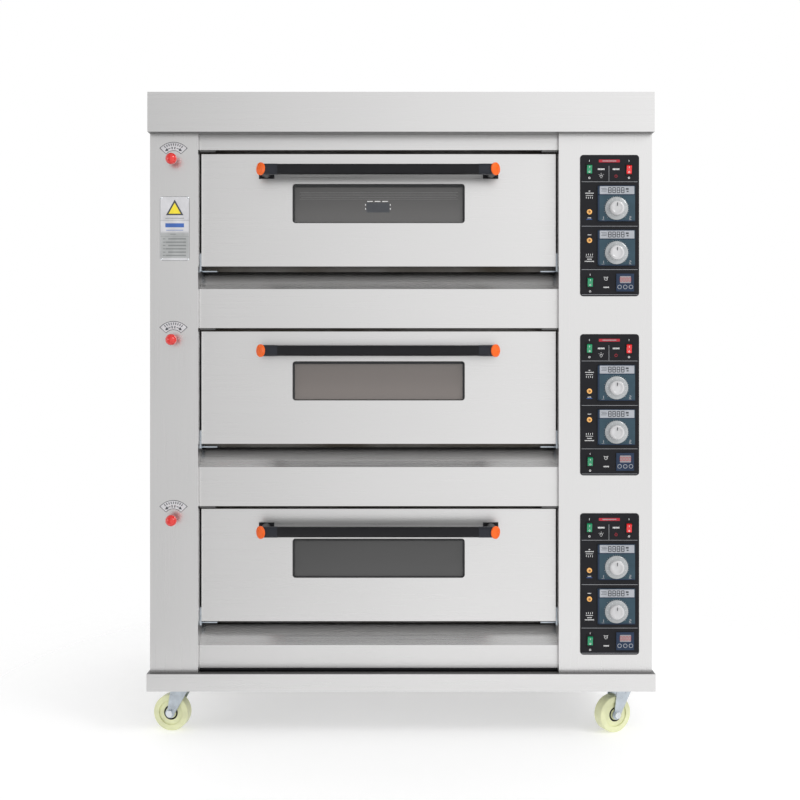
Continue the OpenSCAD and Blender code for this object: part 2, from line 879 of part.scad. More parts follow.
module timer_modules() {
    lap = 2 + cutout_gap;
    color([0.2, 0.26, 0.36]) placed() for (deck = decks) {
        plate_block(deck, timer_uv, timer_size, timer_size, [-plate_t - bezel, -plate_t]);
        plate_block(deck, timer_uv, timer_size - 2 * lap, timer_size - 2 * lap,
            [-plate_t - hair, 50]);
        for (i = [-1:1]) {
            bar_y(plate_x_at(timer_uv[0] + 14 * i),
                [-plate_t - bezel - 0.6, -plate_t - bezel + hair],
                plate_z_at(deck, timer_uv[1] + 11), 4);
        }
    }
}

module switch_housings() {
    lap = 1 + cutout_gap;
    y1 = 24;
    color([0.1, 0.1, 0.1]) placed() for (deck = decks) for (uv = rocker_uv) {
        z = plate_z_at(deck, uv[1]);
        x = plate_x_at(uv[0]);
        difference() {
            union() {
                plate_block(deck, uv, rocker_w, rocker_h, [-plate_t - 1.5, -plate_t]);
                plate_block(deck, uv, rocker_w - 2 * lap, rocker_h - 2 * lap,
                    [-plate_t - hair, y1]);
            }
            plate_block(deck, uv, 2 * rocker_half_w + 0.6, 2 * rocker_r + 0.6,
                [-plate_t - 2.5, y1 - 8]);
            bar_x([x - rocker_half_w - trunnion_l - 0.3, x + rocker_half_w + trunnion_l + 0.3],
                rocker_y, z, trunnion_r + running);
        }
    }
}

// A rocker, drawn with its lower half pressed
module rocker(deck, which) {
    uv = rocker_uv[which];
    r = rocker_r;
    rim = 6.4;
    waist = 4.6;
    color(which == 1 ? "red" : "green") placed()
        translate([plate_x_at(uv[0]), rocker_y, plate_z_at(deck, uv[1])])
        rotate([rocker_tilt, 0, 0]) {
            rotate([90, 0, 90]) linear_extrude(2 * rocker_half_w, center = true)
                intersection() {
                    circle(r = r);
                    polygon([[-rim, -r], [-waist, 0], [-rim, r], [4, r], [4, -r]]);
                }
            bar_x([-rocker_half_w - trunnion_l, rocker_half_w + trunnion_l], 0, 0, trunnion_r);
        }
}

module indicator_lamps() {
    color("orange") placed() for (deck = decks) for (uv = lamp_uv) {
        x = plate_x_at(uv[0]);
        z = plate_z_at(deck, uv[1]);
        bar_y(x, [-plate_t - 1.5, -plate_t], z, indicator_r);
        bar_y(x, [-plate_t - 1, 18], z, indicator_r - 1 - cutout_gap);
        intersection() {
            translate([x, 1 - plate_t, z]) sphere(r = indicator_r - 0.8);
            bar_y(x, [-plate_t - 8, -plate_t], z, indicator_r);
        }
    }
}

// A thermostat dial: skirt, grip and the shaft in the thermostat
module dial(deck, which) {
    v = thermostat_v[which] + dial_below;
    x = plate_x_at(thermostat_u);
    z = plate_z_at(deck, v);
    face = dial_y - 0.3;
    grip_r = dial_r * 0.62;
    color("lightgray") placed() {
        bar_y(x, [face - 3, face], z, dial_r);
        bar_y(x, [face - 9, face], z, grip_r);
        block([x - 5, x + 5], [face - 15, face], [z - grip_r, z + grip_r]);
        bar_y(x, [face - 1, 8], z, dial_shaft_r);
    }
}

// Contactors and terminals behind each frame plate, and the cable gland
module electrical_gear() {
    y = gear_y;
    x0 = open_x1 + 30;
    pitch = (post_x - 12 - x0) / 3;
    gland_z = base_top + gland_rise;
    color("whitesmoke") placed() {
        for (deck = decks) {
            for (i = [0:2]) {
                x = [x0 + i * pitch, x0 + i * pitch + 45];
                block(x, [y, y + 60], [door_z(deck) + 110, door_z(deck) + 185]);
                block([x[0] + 6, x[1] - 6], [y + 60 - hair, y + 80],
                    [door_z(deck) + 125, door_z(deck) + 170]);
            }
            for (i = [0:7]) {
                block([x0 + i * 14, x0 + i * 14 + 12], [y, y + 40],
                    [door_z(deck) + 50, door_z(deck) + 85]);
            }
        }
        difference() {
            union() {
                translate([gland_x, body_d, gland_z]) rotate([-90, 0, 0])
                    cylinder(r = gland_r + 5, h = 7, $fn = 6);
                bar_y(gland_x, [body_d - 16, body_d + 20], gland_z, gland_r);
                translate([gland_x, body_d - sheet, gland_z]) rotate([90, 0, 0])
                    cylinder(r = gland_r + 5, h = 6, $fn = 6);
            }
            bar_y(gland_x, [body_d - 17, body_d + 21], gland_z, cable_r);
        }
    }
}

// Places children at a castor's swivel axis
module at_castor(i) {
    translate([castor_side(i) * castor_x, castor_y(i), 0]) children();
}

// The fixed half of each castor: top plate, race, kingpin and bolts
module castor_mounts() {
    p = castor_plate;
    plate_z = castor_h - p[2];
    pin_z = plate_z - ring_h - 0.3 - crown_h - 0.3;
    color("silver") placed() for (i = [0:3]) at_castor(i) {
        block([-p[0] / 2, p[0] / 2], [-p[1] / 2, p[1] / 2], [plate_z, castor_h]);
        translate([0, 0, plate_z - ring_h]) cylinder(r = ring_r, h = ring_h + 1);
        translate([0, 0, pin_z]) cylinder(r = kingpin_r, h = castor_h - pin_z - 1);
        translate([0, 0, pin_z - 5]) cylinder(r = kingpin_r + 4, h = 5 + hair, $fn = 6);
        for (sx = [-1, 1]) {
            for (sy = [-1, 1]) {
                translate([sx * (p[0] / 2 - 9), sy * (p[1] / 2 - 9), plate_z - 5])
                    cylinder(r = 6.5, h = 5, $fn = 6);
            }
        }
    }
}

// One leg of a fork, in the plane of the wheel
module fork_leg() {
    top_z = castor_h - castor_plate[2] - ring_h - 0.3;
    rotate([90, 0, 0]) linear_extrude(fork_t) {
        polygon([
            [-trail - 9, wheel_r - 6], [-trail + 9, wheel_r - 6],
            [22, top_z - crown_h], [22, top_z], [-22, top_z], [-24, top_z - crown_h - 8]
        ]);
        translate([-trail, wheel_r]) circle(r = 12);
    }
}

module castor_fork(i) {
    leg_y = wheel_w / 2 + fork_gap;
    top_z = castor_h - castor_plate[2] - ring_h - 0.3;
    head = 6;
    color("lightsteelblue") placed() at_castor(i) rotate([0, 0, yaws[i]]) {
        difference() {
            union() {
                translate([0, 0, top_z - crown_h]) cylinder(r = 23, h = crown_h);
                block([-22, 22], [-leg_y - fork_t, leg_y + fork_t], [top_z - crown_h, top_z]);
                translate([0, -leg_y, 0]) fork_leg();
                translate([0, leg_y + fork_t, 0]) fork_leg();
            }
            translate([0, 0, top_z - crown_h - 1])
                cylinder(r = kingpin_r + running, h = crown_h + 2);
        }
        bar_y(-trail, [-leg_y - fork_t - 2, leg_y + fork_t + 2], wheel_r, axle_r);
        for (s = [0, 1]) mirror([0, s, 0]) {
            translate([-trail, leg_y + fork_t, wheel_r]) rotate([-90, 0, 0])
                cylinder(r = 9, h = head, $fn = 6);
        }
    }
}

module castor_wheel(i) {
    w = wheel_w / 2;
    r = wheel_r;
    edge = 3;
    bore = axle_r + running;
    color("palegoldenrod") placed() at_castor(i) rotate([0, 0, yaws[i]])
        translate([-trail, 0, wheel_r]) rotate([90, 0, 0]) rotate_extrude()
            difference() {
                union() {
                    translate([bore, -w - 1]) square([8, 2 * w + 2]);
                    translate([bore, -w + 4]) square([r - bore - 2 * edge, 2 * w - 8]);
                    translate([r - 14, edge - w]) square([14, 2 * w - 2 * edge]);
                    translate([r - 14, -w]) square([14 - edge, 2 * w]);
                    for (s = [-1, 1]) {
                        translate([r - edge, s * (w - edge)]) circle(r = edge);
                    }
                }
                translate([-r, -r]) square([r + bore, 2 * r]);
            }
}

canopy();
left_column();
control_column();
side_panels();
back_panel();
base_pan();
front_fascias();
main_frame();
oven_chambers();
hearth_plates();
heating_elements();
insulation_blocks();
chamber_lamps();
exhaust_ducts();
hinge_brackets();
control_plates();
thermostat_bodies();
timer_modules();
switch_housings();
indicator_lamps();
electrical_gear();
castor_mounts();
for (deck = decks) {
    name = deck_names[deck];
    door_casing(deck);
    door_wool(deck);
    door_window(deck);
    door_handle(deck);
    damper(deck);
    for (s = [0:2]) {
        rocker(deck, s);
    }
    for (l = [0, 1]) {
        dial(deck, l);
    }
}
for (i = [0:3]) {
    castor_fork(i);
    castor_wheel(i);
}
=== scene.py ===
"""Looks of the three-deck oven: materials, printed panels, labels, screws, light and camera.

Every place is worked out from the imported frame, in metres. Sizes of printed details are in
millimetres and are multiplied by MM.
"""
import json
import math

import bmesh
import bpy
from mathutils import Matrix, Vector


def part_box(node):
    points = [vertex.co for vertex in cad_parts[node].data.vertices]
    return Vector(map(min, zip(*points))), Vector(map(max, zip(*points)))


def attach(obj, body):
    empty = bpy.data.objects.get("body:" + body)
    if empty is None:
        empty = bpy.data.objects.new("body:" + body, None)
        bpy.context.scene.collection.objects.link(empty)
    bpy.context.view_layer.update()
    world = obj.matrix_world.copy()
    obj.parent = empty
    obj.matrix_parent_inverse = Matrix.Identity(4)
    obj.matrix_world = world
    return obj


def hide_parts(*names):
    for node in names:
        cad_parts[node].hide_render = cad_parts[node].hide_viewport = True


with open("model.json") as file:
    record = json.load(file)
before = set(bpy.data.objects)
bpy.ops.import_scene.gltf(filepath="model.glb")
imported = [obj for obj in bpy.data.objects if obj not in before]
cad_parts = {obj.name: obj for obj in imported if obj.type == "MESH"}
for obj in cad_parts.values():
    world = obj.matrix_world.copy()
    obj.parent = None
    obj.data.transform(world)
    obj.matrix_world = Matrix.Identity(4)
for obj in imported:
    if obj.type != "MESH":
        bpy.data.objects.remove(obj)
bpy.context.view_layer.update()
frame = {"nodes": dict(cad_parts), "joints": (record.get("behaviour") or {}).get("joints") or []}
nodes = frame["nodes"]

MM = 0.001
ROOT = "oven_body"
DECKS = ("lower", "middle", "upper")
CORNERS = ("front_left", "front_right", "rear_left", "rear_right")

# Printed details, in millimetres
PRINT = 0.15            # thickness of a printed mark
SUNK = 0.02             # how deep a flat shape reaches into its surface
SWITCH_V = 35.3         # light switch below the top of its control plate
THERMOSTAT_V = (120, 229.4)
TIMER_UV = (110.7, 315.2)
LAMP_U, LAMP_V = 22.7, (140.7, 211.3)
WINDOW_W, WINDOW_H = 430, 98

# Where the second materials start on the CAD nodes, in millimetres
HANDLE_AXIS = 18.74     # handle axis behind the front of its end cap, and in from its end
MITRE = 8.01            # end cap's seat beyond the axes' crossing
SLEEVE = (30, 53)       # sleeve between these distances from the handle's end
SLEEVE_BACK = 14        # and no further behind the handle's axis
KNOB_BACK = 29          # back of the damper knob, from its front
BOLT_ALONG, BOLT_R = 20.2, 12
SLOPE_FOLD, SLOPE_RISE = 57, 45

# Camera, in metres
CAMERA_DISTANCE = 2.8
CAMERA_HEIGHT = 0.957


# ---------------------------------------------------------------- frame helpers

def middle(node):
    low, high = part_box(node)
    return (low + high) / 2


def joint_of(body):
    return next(j for j in frame["joints"] if j["child"] == body)


# ---------------------------------------------------------------- materials

def new_material(name, color, metallic=0.0, roughness=0.5):
    mat = bpy.data.materials.new(name)
    mat.use_nodes = True
    shader = mat.node_tree.nodes["Principled BSDF"]
    shader.inputs["Base Color"].default_value = (*color, 1)
    shader.inputs["Metallic"].default_value = metallic
    shader.inputs["Roughness"].default_value = roughness
    return mat, shader


def add_noise(mat, scale, detail=3.0, stretch=(1, 1, 1)):
    """A noise texture in object space, stretched by a factor along each axis."""
    tree = mat.node_tree
    coords = tree.nodes.new("ShaderNodeTexCoord")
    mapping = tree.nodes.new("ShaderNodeMapping")
    mapping.inputs["Scale"].default_value = stretch
    noise = tree.nodes.new("ShaderNodeTexNoise")
    noise.inputs["Scale"].default_value = scale
    noise.inputs["Detail"].default_value = detail
    tree.links.new(coords.outputs["Object"], mapping.inputs["Vector"])
    tree.links.new(mapping.outputs["Vector"], noise.inputs["Vector"])
    return noise.outputs["Fac"]


def vary_color(mat, shader, fac, dark, light, low=0.3, high=0.7):
    tree = mat.node_tree
    ramp = tree.nodes.new("ShaderNodeValToRGB")
    ramp.color_ramp.elements[0].position = low
    ramp.color_ramp.elements[1].position = high
    ramp.color_ramp.elements[0].color = (*dark, 1)
    ramp.color_ramp.elements[1].color = (*light, 1)
    tree.links.new(fac, ramp.inputs["Fac"])
    tree.links.new(ramp.outputs["Color"], shader.inputs["Base Color"])


def vary_roughness(mat, shader, fac, low, high):
    tree = mat.node_tree
    span = tree.nodes.new("ShaderNodeMapRange")
    span.inputs["From Min"].default_value = 0.3
    span.inputs["From Max"].default_value = 0.7
    span.inputs["To Min"].default_value = low
    span.inputs["To Max"].default_value = high
    tree.links.new(fac, span.inputs["Value"])
    tree.links.new(span.outputs["Result"], shader.inputs["Roughness"])


def add_bump(mat, shader, fac, strength, distance):
    tree = mat.node_tree
    bump = tree.nodes.new("ShaderNodeBump")
    bump.inputs["Strength"].default_value = strength
    bump.inputs["Distance"].default_value = distance
    tree.links.new(fac, bump.inputs["Height"])
    tree.links.new(bump.outputs["Normal"], shader.inputs["Normal"])


def shade(color, factor):
    return tuple(min(1.0, c * factor) for c in color)


def brushed(name, color, along, roughness=0.3):
    """Brushed sheet metal whose fine scratches run along X or Z."""
    mat, shader = new_material(name, color, 1.0, roughness)
    stretch = (0.004, 1, 1) if along == "X" else (1, 1, 0.004)
    fine = add_noise(mat, 900, 2, stretch)
    broad = add_noise(mat, 1.6, 2, (1, 1, 1))
    tree = mat.node_tree
    both = tree.nodes.new("ShaderNodeMath")
    both.operation = "MULTIPLY_ADD"
    both.inputs[1].default_value = 0.45
    tree.links.new(fine, both.inputs[0])
    tree.links.new(broad, both.inputs[2])
    vary_color(mat, shader, both.outputs[0], shade(color, 0.97), shade(color, 1.02), 0.45, 1.0)
    vary_roughness(mat, shader, fine, roughness - 0.03, roughness + 0.04)
    add_bump(mat, shader, fine, 0.035, 0.00003)
    return mat


def plastic(name, color, roughness=0.45, grain=0.15, coat=0.0, specular=0.5):
    """Moulded plastic or paint with a fine grain and a little change of tone."""
    mat, shader = new_material(name, color, 0.0, roughness)
    shader.inputs["Specular IOR Level"].default_value = specular
    vary_color(mat, shader, add_noise(mat, 35, 3), shade(color, 0.9), shade(color, 1.1))
    add_bump(mat, shader, add_noise(mat, 1400, 2), grain, 0.00006)
    shader.inputs["Coat Weight"].default_value = coat
    shader.inputs["Coat Roughness"].default_value = 0.08
    return mat


def plated(name, color, roughness=0.28):
    """Zinc-plated steel with its cloudy blue spangle."""
    mat, shader = new_material(name, color, 1.0, roughness)
    cloud = add_noise(mat, 60, 4)
    vary_color(mat, shader, cloud, shade(color, 0.82), shade(color, 1.12))
    vary_roughness(mat, shader, cloud, roughness - 0.06, roughness + 0.12)
    add_bump(mat, shader, add_noise(mat, 700, 3), 0.1, 0.00005)
    return mat


def baked(name, color, tint, roughness):
    """Steel that heat has stained, from the base colour towards a tint."""
    mat, shader = new_material(name, color, 0.85, roughness)
    stain = add_noise(mat, 5, 6)
    vary_color(mat, shader, stain, tint, color, 0.35, 0.65)
    vary_roughness(mat, shader, stain, roughness + 0.15, roughness)
    add_bump(mat, shader, add_noise(mat, 500, 4), 0.15, 0.0001)
    return mat


def dark_glass(name, color, top=1.0):
    """Tinted glass over a dim chamber, with painted shade that darkens it upwards by the factor
    top.
    """
    mat, shader = new_material(name, color, 0.0, 0.06)
    haze = add_noise(mat, 7, 3)
    vary_roughness(mat, shader, haze, 0.04, 0.12)
    tree = mat.node_tree
    coords = tree.nodes.new("ShaderNodeTexCoord")
    split = tree.nodes.new("ShaderNodeSeparateXYZ")
    tree.links.new(coords.outputs["Generated"], split.inputs[0])
    # Painted shade: the colour darkens from the bottom of the pane upwards.
    vary_color(mat, shader, split.outputs["Z"], shade(color, 1.15), shade(color, top), 0.0, 1.0)
    shader.inputs["Transmission Weight"].default_value = 0.25
    shader.inputs["Coat Weight"].default_value = 0.4
    shader.inputs["Coat Roughness"].default_value = 0.03
    return mat


def slope_steel():
    """Steel of the sloping fascia tops, in deeper shade towards each door's bottom edge."""
    color = shade(STEEL, 0.95)
    mat, shader = new_material("steel_slope", color, 1.0, 0.24)
    tree = mat.node_tree
    coords = tree.nodes.new("ShaderNodeTexCoord")
    split = tree.nodes.new("ShaderNodeSeparateXYZ")
    tree.links.new(coords.outputs["Object"], split.inputs[0])
    pitch = middle("middle_door_casing").z - middle("lower_door_casing").z
    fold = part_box("lower_door_casing")[0].z - SLOPE_FOLD * MM
    above = tree.nodes.new("ShaderNodeMath")
    above.operation = "SUBTRACT"
    above.inputs[1].default_value = fold
    share = tree.nodes.new("ShaderNodeMath")
    share.operation = "MODULO"
    share.inputs[1].default_value = pitch
    rise = tree.nodes.new("ShaderNodeMapRange")
    rise.inputs["From Max"].default_value = SLOPE_RISE * MM
    tree.links.new(split.outputs["Z"], above.inputs[0])
    tree.links.new(above.outputs[0], share.inputs[0])
    tree.links.new(share.outputs[0], rise.inputs["Value"])
    vary_color(mat, shader, rise.outputs["Result"], color, shade(color, 0.22), 0.35, 1.0)
    vary_roughness(mat, shader, add_noise(mat, 900, 2, (0.004, 1, 1)), 0.22, 0.3)
    return mat


def wool_material():
    color = (0.62, 0.56, 0.38)
    mat, shader = new_material("mineral_wool", color, 0.0, 0.95)
    fibre = add_noise(mat, 220, 6, (1, 1, 3))
    vary_color(mat, shader, fibre, shade(color, 0.65), shade(color, 1.2))
    add_bump(mat, shader, fibre, 0.6, 0.001)
    shader.inputs["Sheen Weight"].default_value = 0.3
    return mat


def glowing(name, color, strength, roughness=0.25):
    mat = plastic(name, color, roughness, 0.05, 0.5)
    shader = mat.node_tree.nodes["Principled BSDF"]
    shader.inputs["Emission Color"].default_value = (*color, 1)
    shader.inputs["Emission Strength"].default_value = strength
    return mat


STEEL = (0.715, 0.71, 0.708)
M = {
    "steel_x": brushed("steel_brushed_across", STEEL, "X"),
    "steel_z": brushed("steel_brushed_upright", STEEL, "Z"),
    "steel_shade": brushed("steel_in_shade", shade(STEEL, 0.16), "X", 0.36),
    "steel_side": brushed("steel_side_sheets", shade(STEEL, 0.78), "Z", 0.34),
    "frame": plastic("frame_paint", (0.09, 0.095, 0.10), 0.5, 0.3),
    "liner": baked("liner_steel", (0.20, 0.195, 0.19), (0.12, 0.105, 0.085), 0.4),
    "hearth": baked("hearth_plate", (0.16, 0.16, 0.165), (0.07, 0.055, 0.045), 0.5),
    "element": baked("element_sheath", (0.12, 0.12, 0.12), (0.06, 0.05, 0.045), 0.5),
    "wool": wool_material(),
    "duct": plated("galvanised_duct", (0.55, 0.57, 0.59), 0.35),
    "zinc": plated("zinc_plate", (0.52, 0.57, 0.62), 0.3),
    "bolt": plated("bright_bolt", (0.72, 0.75, 0.78), 0.22),
    "lamp": dark_glass("lamp_cover", (0.85, 0.80, 0.62)),
    "panel": plastic("panel_black", (0.013, 0.013, 0.016), 0.45, 0.1, 0.0, 0.16),
    "slate": plastic("slate_face", (0.040, 0.078, 0.105), 0.4, 0.1, 0.0, 0.2),
    "navy": plastic("navy_face", (0.018, 0.035, 0.075), 0.4, 0.1, 0.0, 0.25),
    "black": plastic("black_plastic", (0.010, 0.010, 0.011), 0.45, 0.15, 0.0, 0.2),
    "handle": plastic("handle_black", (0.010, 0.010, 0.012), 0.42, 0.1, 0.0, 0.2),
    "sleeve": plastic("handle_sleeve", (0.020, 0.022, 0.029), 0.4, 0.1, 0.0, 0.25),
    "orange": plastic("cap_orange", (0.93, 0.13, 0.004), 0.3, 0.05, 0.15, 0.3),
    "red": plastic("red_gloss", (0.72, 0.015, 0.010), 0.2, 0.02, 0.7),
    # The rockers are no lamps: their faint glow is painted light that stands in for their shine.
    "red_key": glowing("red_rocker", (0.70, 0.010, 0.013), 0.12),
    "green_key": glowing("green_rocker", (0.004, 0.26, 0.11), 0.08),
    "amber": glowing("amber_lens", (0.86, 0.45, 0.12), 0.2),
    "amber_core": plastic("amber_core", (0.30, 0.12, 0.015), 0.3, 0.02, 0.3),
    "dial": plastic("dial_silver", (0.60, 0.60, 0.61), 0.22, 0.05, 0.7),
    "dial_clear": plastic("dial_skirt", (0.40, 0.42, 0.43), 0.18, 0.05, 0.8),
    "nylon": plastic("wheel_nylon", (0.74, 0.76, 0.47), 0.38, 0.2, 0.1),
    "white_plastic": plastic("switchgear", (0.70, 0.70, 0.66), 0.45, 0.2),
    "white": plastic("white_print", (0.80, 0.80, 0.80), 0.5, 0.02),
    "grey": plastic("grey_print", (0.36, 0.37, 0.39), 0.5, 0.02),
    "text": plastic("text_print", (0.24, 0.25, 0.25), 0.5, 0.02),
    "lcd": plastic("display_grey", (0.40, 0.42, 0.46), 0.3, 0.02, 0.4),
    "ink": plastic("dark_print", (0.06, 0.065, 0.075), 0.5, 0.02),
    "red_print": plastic("red_print", (0.45, 0.012, 0.03), 0.5, 0.02),
    "yellow": plastic("yellow_print", (0.88, 0.72, 0.04), 0.5, 0.02),
    "blue": plastic("blue_print", (0.05, 0.13, 0.42), 0.5, 0.02),
    "label": plastic("label_film", (0.62, 0.62, 0.64), 0.32, 0.03, 0.2),
    "label_low": plastic("label_grey", (0.40, 0.41, 0.41), 0.35, 0.03, 0.2),
    "digits": glowing("timer_digits", (0.40, 0.08, 0.07), 0.15),
    "timer_glass": plastic("timer_display", (0.30, 0.27, 0.29), 0.25, 0.02, 0.3),
    # Painted shadow: dark strips that stand in for the shade of each window's reveal.
    "reveal_shadow": plastic("window_reveal_shadow", (0.035, 0.036, 0.038), 0.5, 0.2, 0.0, 0.3),
    # Painted reflection: lighter lines for the upper window's glass.
    "glass_reflection": plastic("window_reflection_line", (0.20, 0.20, 0.20), 0.4, 0.02),
}
M["slope"] = slope_steel()
# The last number sets how dark each window's painted shade grows towards its top.
WINDOW = {
    "upper": dark_glass("window_upper", (0.125, 0.122, 0.120), 0.55),
    "middle": dark_glass("window_middle", (0.235, 0.205, 0.190), 0.85),
    "lower": dark_glass("window_lower", (0.070, 0.070, 0.070), 0.75),
}


# ---------------------------------------------------------------- finishing the CAD nodes

def set_material(node, mat):
    data = nodes[node].data
    data.materials.clear()
    data.materials.append(mat)


def paint_faces(node, mat, chosen):
    """Gives a second material to the faces whose centre passes the test."""
    data = nodes[node].data
    data.materials.append(mat)
    index = len(data.materials) - 1
    for face in data.polygons:
        if chosen(face.center):
            face.material_index = index


def paint_normals(node, mat, chosen):
    """Gives a second material to the faces whose normal passes the test."""
    data = nodes[node].data
    data.materials.append(mat)
    for face in data.polygons:
        if chosen(face.normal):
            face.material_index = len(data.materials) - 1


def soften_edges(node, width):
    bevel = nodes[node].modifiers.new("edge", "BEVEL")
    bevel.width = width
    bevel.segments = 2
    bevel.limit_method = "ANGLE"
    bevel.angle_limit = math.radians(40)
    bevel.use_clamp_overlap = True
    bevel.harden_normals = True


def finish_body():
    looks = {
        "canopy": "steel_x", "left_column": "steel_z", "control_column": "steel_z",
        "side_panels": "steel_side", "back_panel": "steel_side", "base_pan": "steel_x",
        "front_fascias": "steel_x", "main_frame": "frame", "oven_chambers": "liner",
        "hearth_plates": "hearth", "heating_elements": "element",
        "insulation_blocks": "wool", "chamber_lamps": "lamp", "exhaust_ducts": "duct",
        "hinge_brackets": "zinc", "control_plates": "panel", "thermostat_bodies": "slate",
        "timer_modules": "navy", "switch_housings": "black", "indicator_lamps": "amber",
        "electrical_gear": "white_plastic", "castor_mounts": "zinc",
    }
    for node, look in looks.items():
        set_material(node, M[look])
    paint_faces("indicator_lamps", M["black"],
        lambda c: c.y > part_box("control_plates")[0].y - 0.4 * MM)
    paint_normals("front_fascias", M["slope"], lambda n: n.z > 0.5 and n.y < -0.5)
    paint_normals("canopy", M["steel_shade"], lambda n: n.z < -0.5)
    paint_normals("base_pan", M["steel_shade"], lambda n: n.z > 0.5)
    for node in ("canopy", "base_pan", "front_fascias", "left_column", "control_column"):
        soften_edges(node, 0.5 * MM)
    for node in ("control_plates", "thermostat_bodies", "timer_modules", "switch_housings"):
        soften_edges(node, 0.35 * MM)


def finish_doors():
    for deck in DECKS:
        set_material(f"{deck}_door_casing", M["steel_x"])
        set_material(f"{deck}_door_wool", M["wool"])
        set_material(f"{deck}_door_window", WINDOW[deck])
        soften_edges(f"{deck}_door_casing", 0.5 * MM)
        handle = f"{deck}_door_handle"
        low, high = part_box(handle)
        set_material(handle, M["handle"])
        axis_y = low.y + HANDLE_AXIS * MM

        def beyond_mitre(c):
            reach = abs(c.x - (low.x + high.x) / 2) - (high.x - low.x) / 2 + HANDLE_AXIS * MM
            return (reach - (c.y - axis_y)) / math.sqrt(2) > MITRE * MM

        def on_sleeve(c):
            inset = (high.x - low.x) / 2 - abs(c.x - (low.x + high.x) / 2)
            return SLEEVE[0] * MM < inset < SLEEVE[1] * MM and c.y < axis_y + SLEEVE_BACK * MM

        paint_faces(handle, M["sleeve"], on_sleeve)
        paint_faces(handle, M["orange"], beyond_mitre)
        soften_edges(handle, 0.4 * MM)


def finish_controls():
    for deck in DECKS:
        damper = f"{deck}_damper"
        set_material(damper, M["red"])
        knob_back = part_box(damper)[0].y + KNOB_BACK * MM
        paint_faces(damper, M["bolt"], lambda c: c.y > knob_back)
        for switch in ("light", "power", "timer"):
            look = "red_key" if switch == "power" else "green_key"
            set_material(f"{deck}_{switch}_rocker", M[look])
            soften_edges(f"{deck}_{switch}_rocker", 0.4 * MM)


def finish_castors():
    for corner in CORNERS:
        fork, wheel = f"{corner}_fork", f"{corner}_wheel"
        set_material(fork, M["zinc"])
        set_material(wheel, M["nylon"])
        soften_edges(fork, 0.4 * MM)
        roll = joint_of(wheel)
        centre, axis = Vector(roll["pos_m"]), Vector(roll["axis"])

        def on_bolt(c):
            along = (c - centre).dot(axis)
            off_axis = (c - centre - along * axis).length
            return abs(along) > BOLT_ALONG * MM and off_axis < BOLT_R * MM

        paint_faces(fork, M["bolt"], on_bolt)


# ---------------------------------------------------------------- flat printed shapes

def rect(u, v, w, h):
    """A rectangle round a point; u runs right and v runs down, in millimetres."""
    return [(u - w / 2, v - h / 2), (u + w / 2, v - h / 2),
            (u + w / 2, v + h / 2), (u - w / 2, v + h / 2)]


def disc(u, v, r, sides=24):
    return [(u + r * math.cos(2 * math.pi * i / sides), v + r * math.sin(2 * math.pi * i / sides))
            for i in range(sides)]


def band(u, v, r0, r1, start=0, end=360, steps=32):
    """A ring or part of one, as a list of four-cornered outlines; angles from 3 o'clock."""
    out = []
    for i in range(steps):
        a, b = (math.radians(start + (end - start) * (i + k) / steps) for k in (0, 1))
        out.append([(u + r * math.cos(t), v - r * math.sin(t))
                    for r, t in ((r0, a), (r1, a), (r1, b), (r0, b))])
    return out


def rounded(u, v, w, h, r, steps=6):
    out = []
    for k, (sx, sy) in enumerate(((1, 1), (-1, 1), (-1, -1), (1, -1))):
        for i in range(steps + 1):
            a = math.pi / 2 * (k + i / steps)
            out.append((u + sx * (w / 2 - r) + r * math.cos(a),
                        v + sy * (h / 2 - r) + r * math.sin(a)))
    return out


def word(u, v, letters, height=2.4):
    """A row of small blocks in place of a printed word."""
    pitch = height * 0.82
    start = u - pitch * (letters - 1) / 2
    return [rect(start + i * pitch, v, pitch * 0.66, height * (1 if i % 3 else 0.86))
            for i in range(letters)]


SEGMENTS = {"0": "abcdef", "1": "bc", "2": "abged", "8": "abcdefg"}


def digit(u, v, char, h, t):
    """A seven-bar numeral of a height and a bar thickness."""
    w = h * 0.52
    bars = {
        "a": rect(u, v - h / 2, w, t), "g": rect(u, v, w, t), "d": rect(u, v + h / 2, w, t),
        "f": rect(u - w / 2, v - h / 4, t, h / 2), "b": rect(u + w / 2, v - h / 4, t, h / 2),
        "e": rect(u - w / 2, v + h / 4, t, h / 2), "c": rect(u + w / 2, v + h / 4, t, h / 2),
    }
    return [bars[s] for s in SEGMENTS[char]]


def digits(u, v, text, h, t):
    pitch = h * 0.85
    start = u - pitch * (len(text) - 1) / 2
    return [bar for i, char in enumerate(text)
            for bar in digit(start + i * pitch, v, char, h, t)]


def close_prism(bm, front, back):
    """The end faces and the sides between two rings of vertices."""
    bm.faces.new(front)
    bm.faces.new(back[::-1])
    for i in range(len(front)):
        k = (i + 1) % len(front)
        bm.faces.new((front[k], front[i], back[i], back[k]))


def flat_piece(name, outlines, origin, thickness, mat, body=ROOT, lift=0.0):
    """Thin raised shapes on a front-facing plane; origin is u = v = 0 on that plane."""
    mesh = bpy.data.meshes.new(name)
    bm = bmesh.new()
    for line in outlines:
        rings = []
        for depth in (lift + thickness, lift - SUNK):
            rings.append([bm.verts.new((origin.x + u * MM, origin.y - depth * MM,
                                        origin.z - v * MM)) for u, v in line])
        close_prism(bm, *rings)
    bmesh.ops.recalc_face_normals(bm, faces=bm.faces)
    bm.to_mesh(mesh)
    bm.free()
    return place(name, mesh, mat, body)


def place(name, mesh, mat, body):
    piece = bpy.data.objects.new(name, mesh)
    bpy.context.scene.collection.objects.link(piece)
    mesh.materials.append(mat)
    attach(piece, body)
    return piece


# ---------------------------------------------------------------- turned pieces

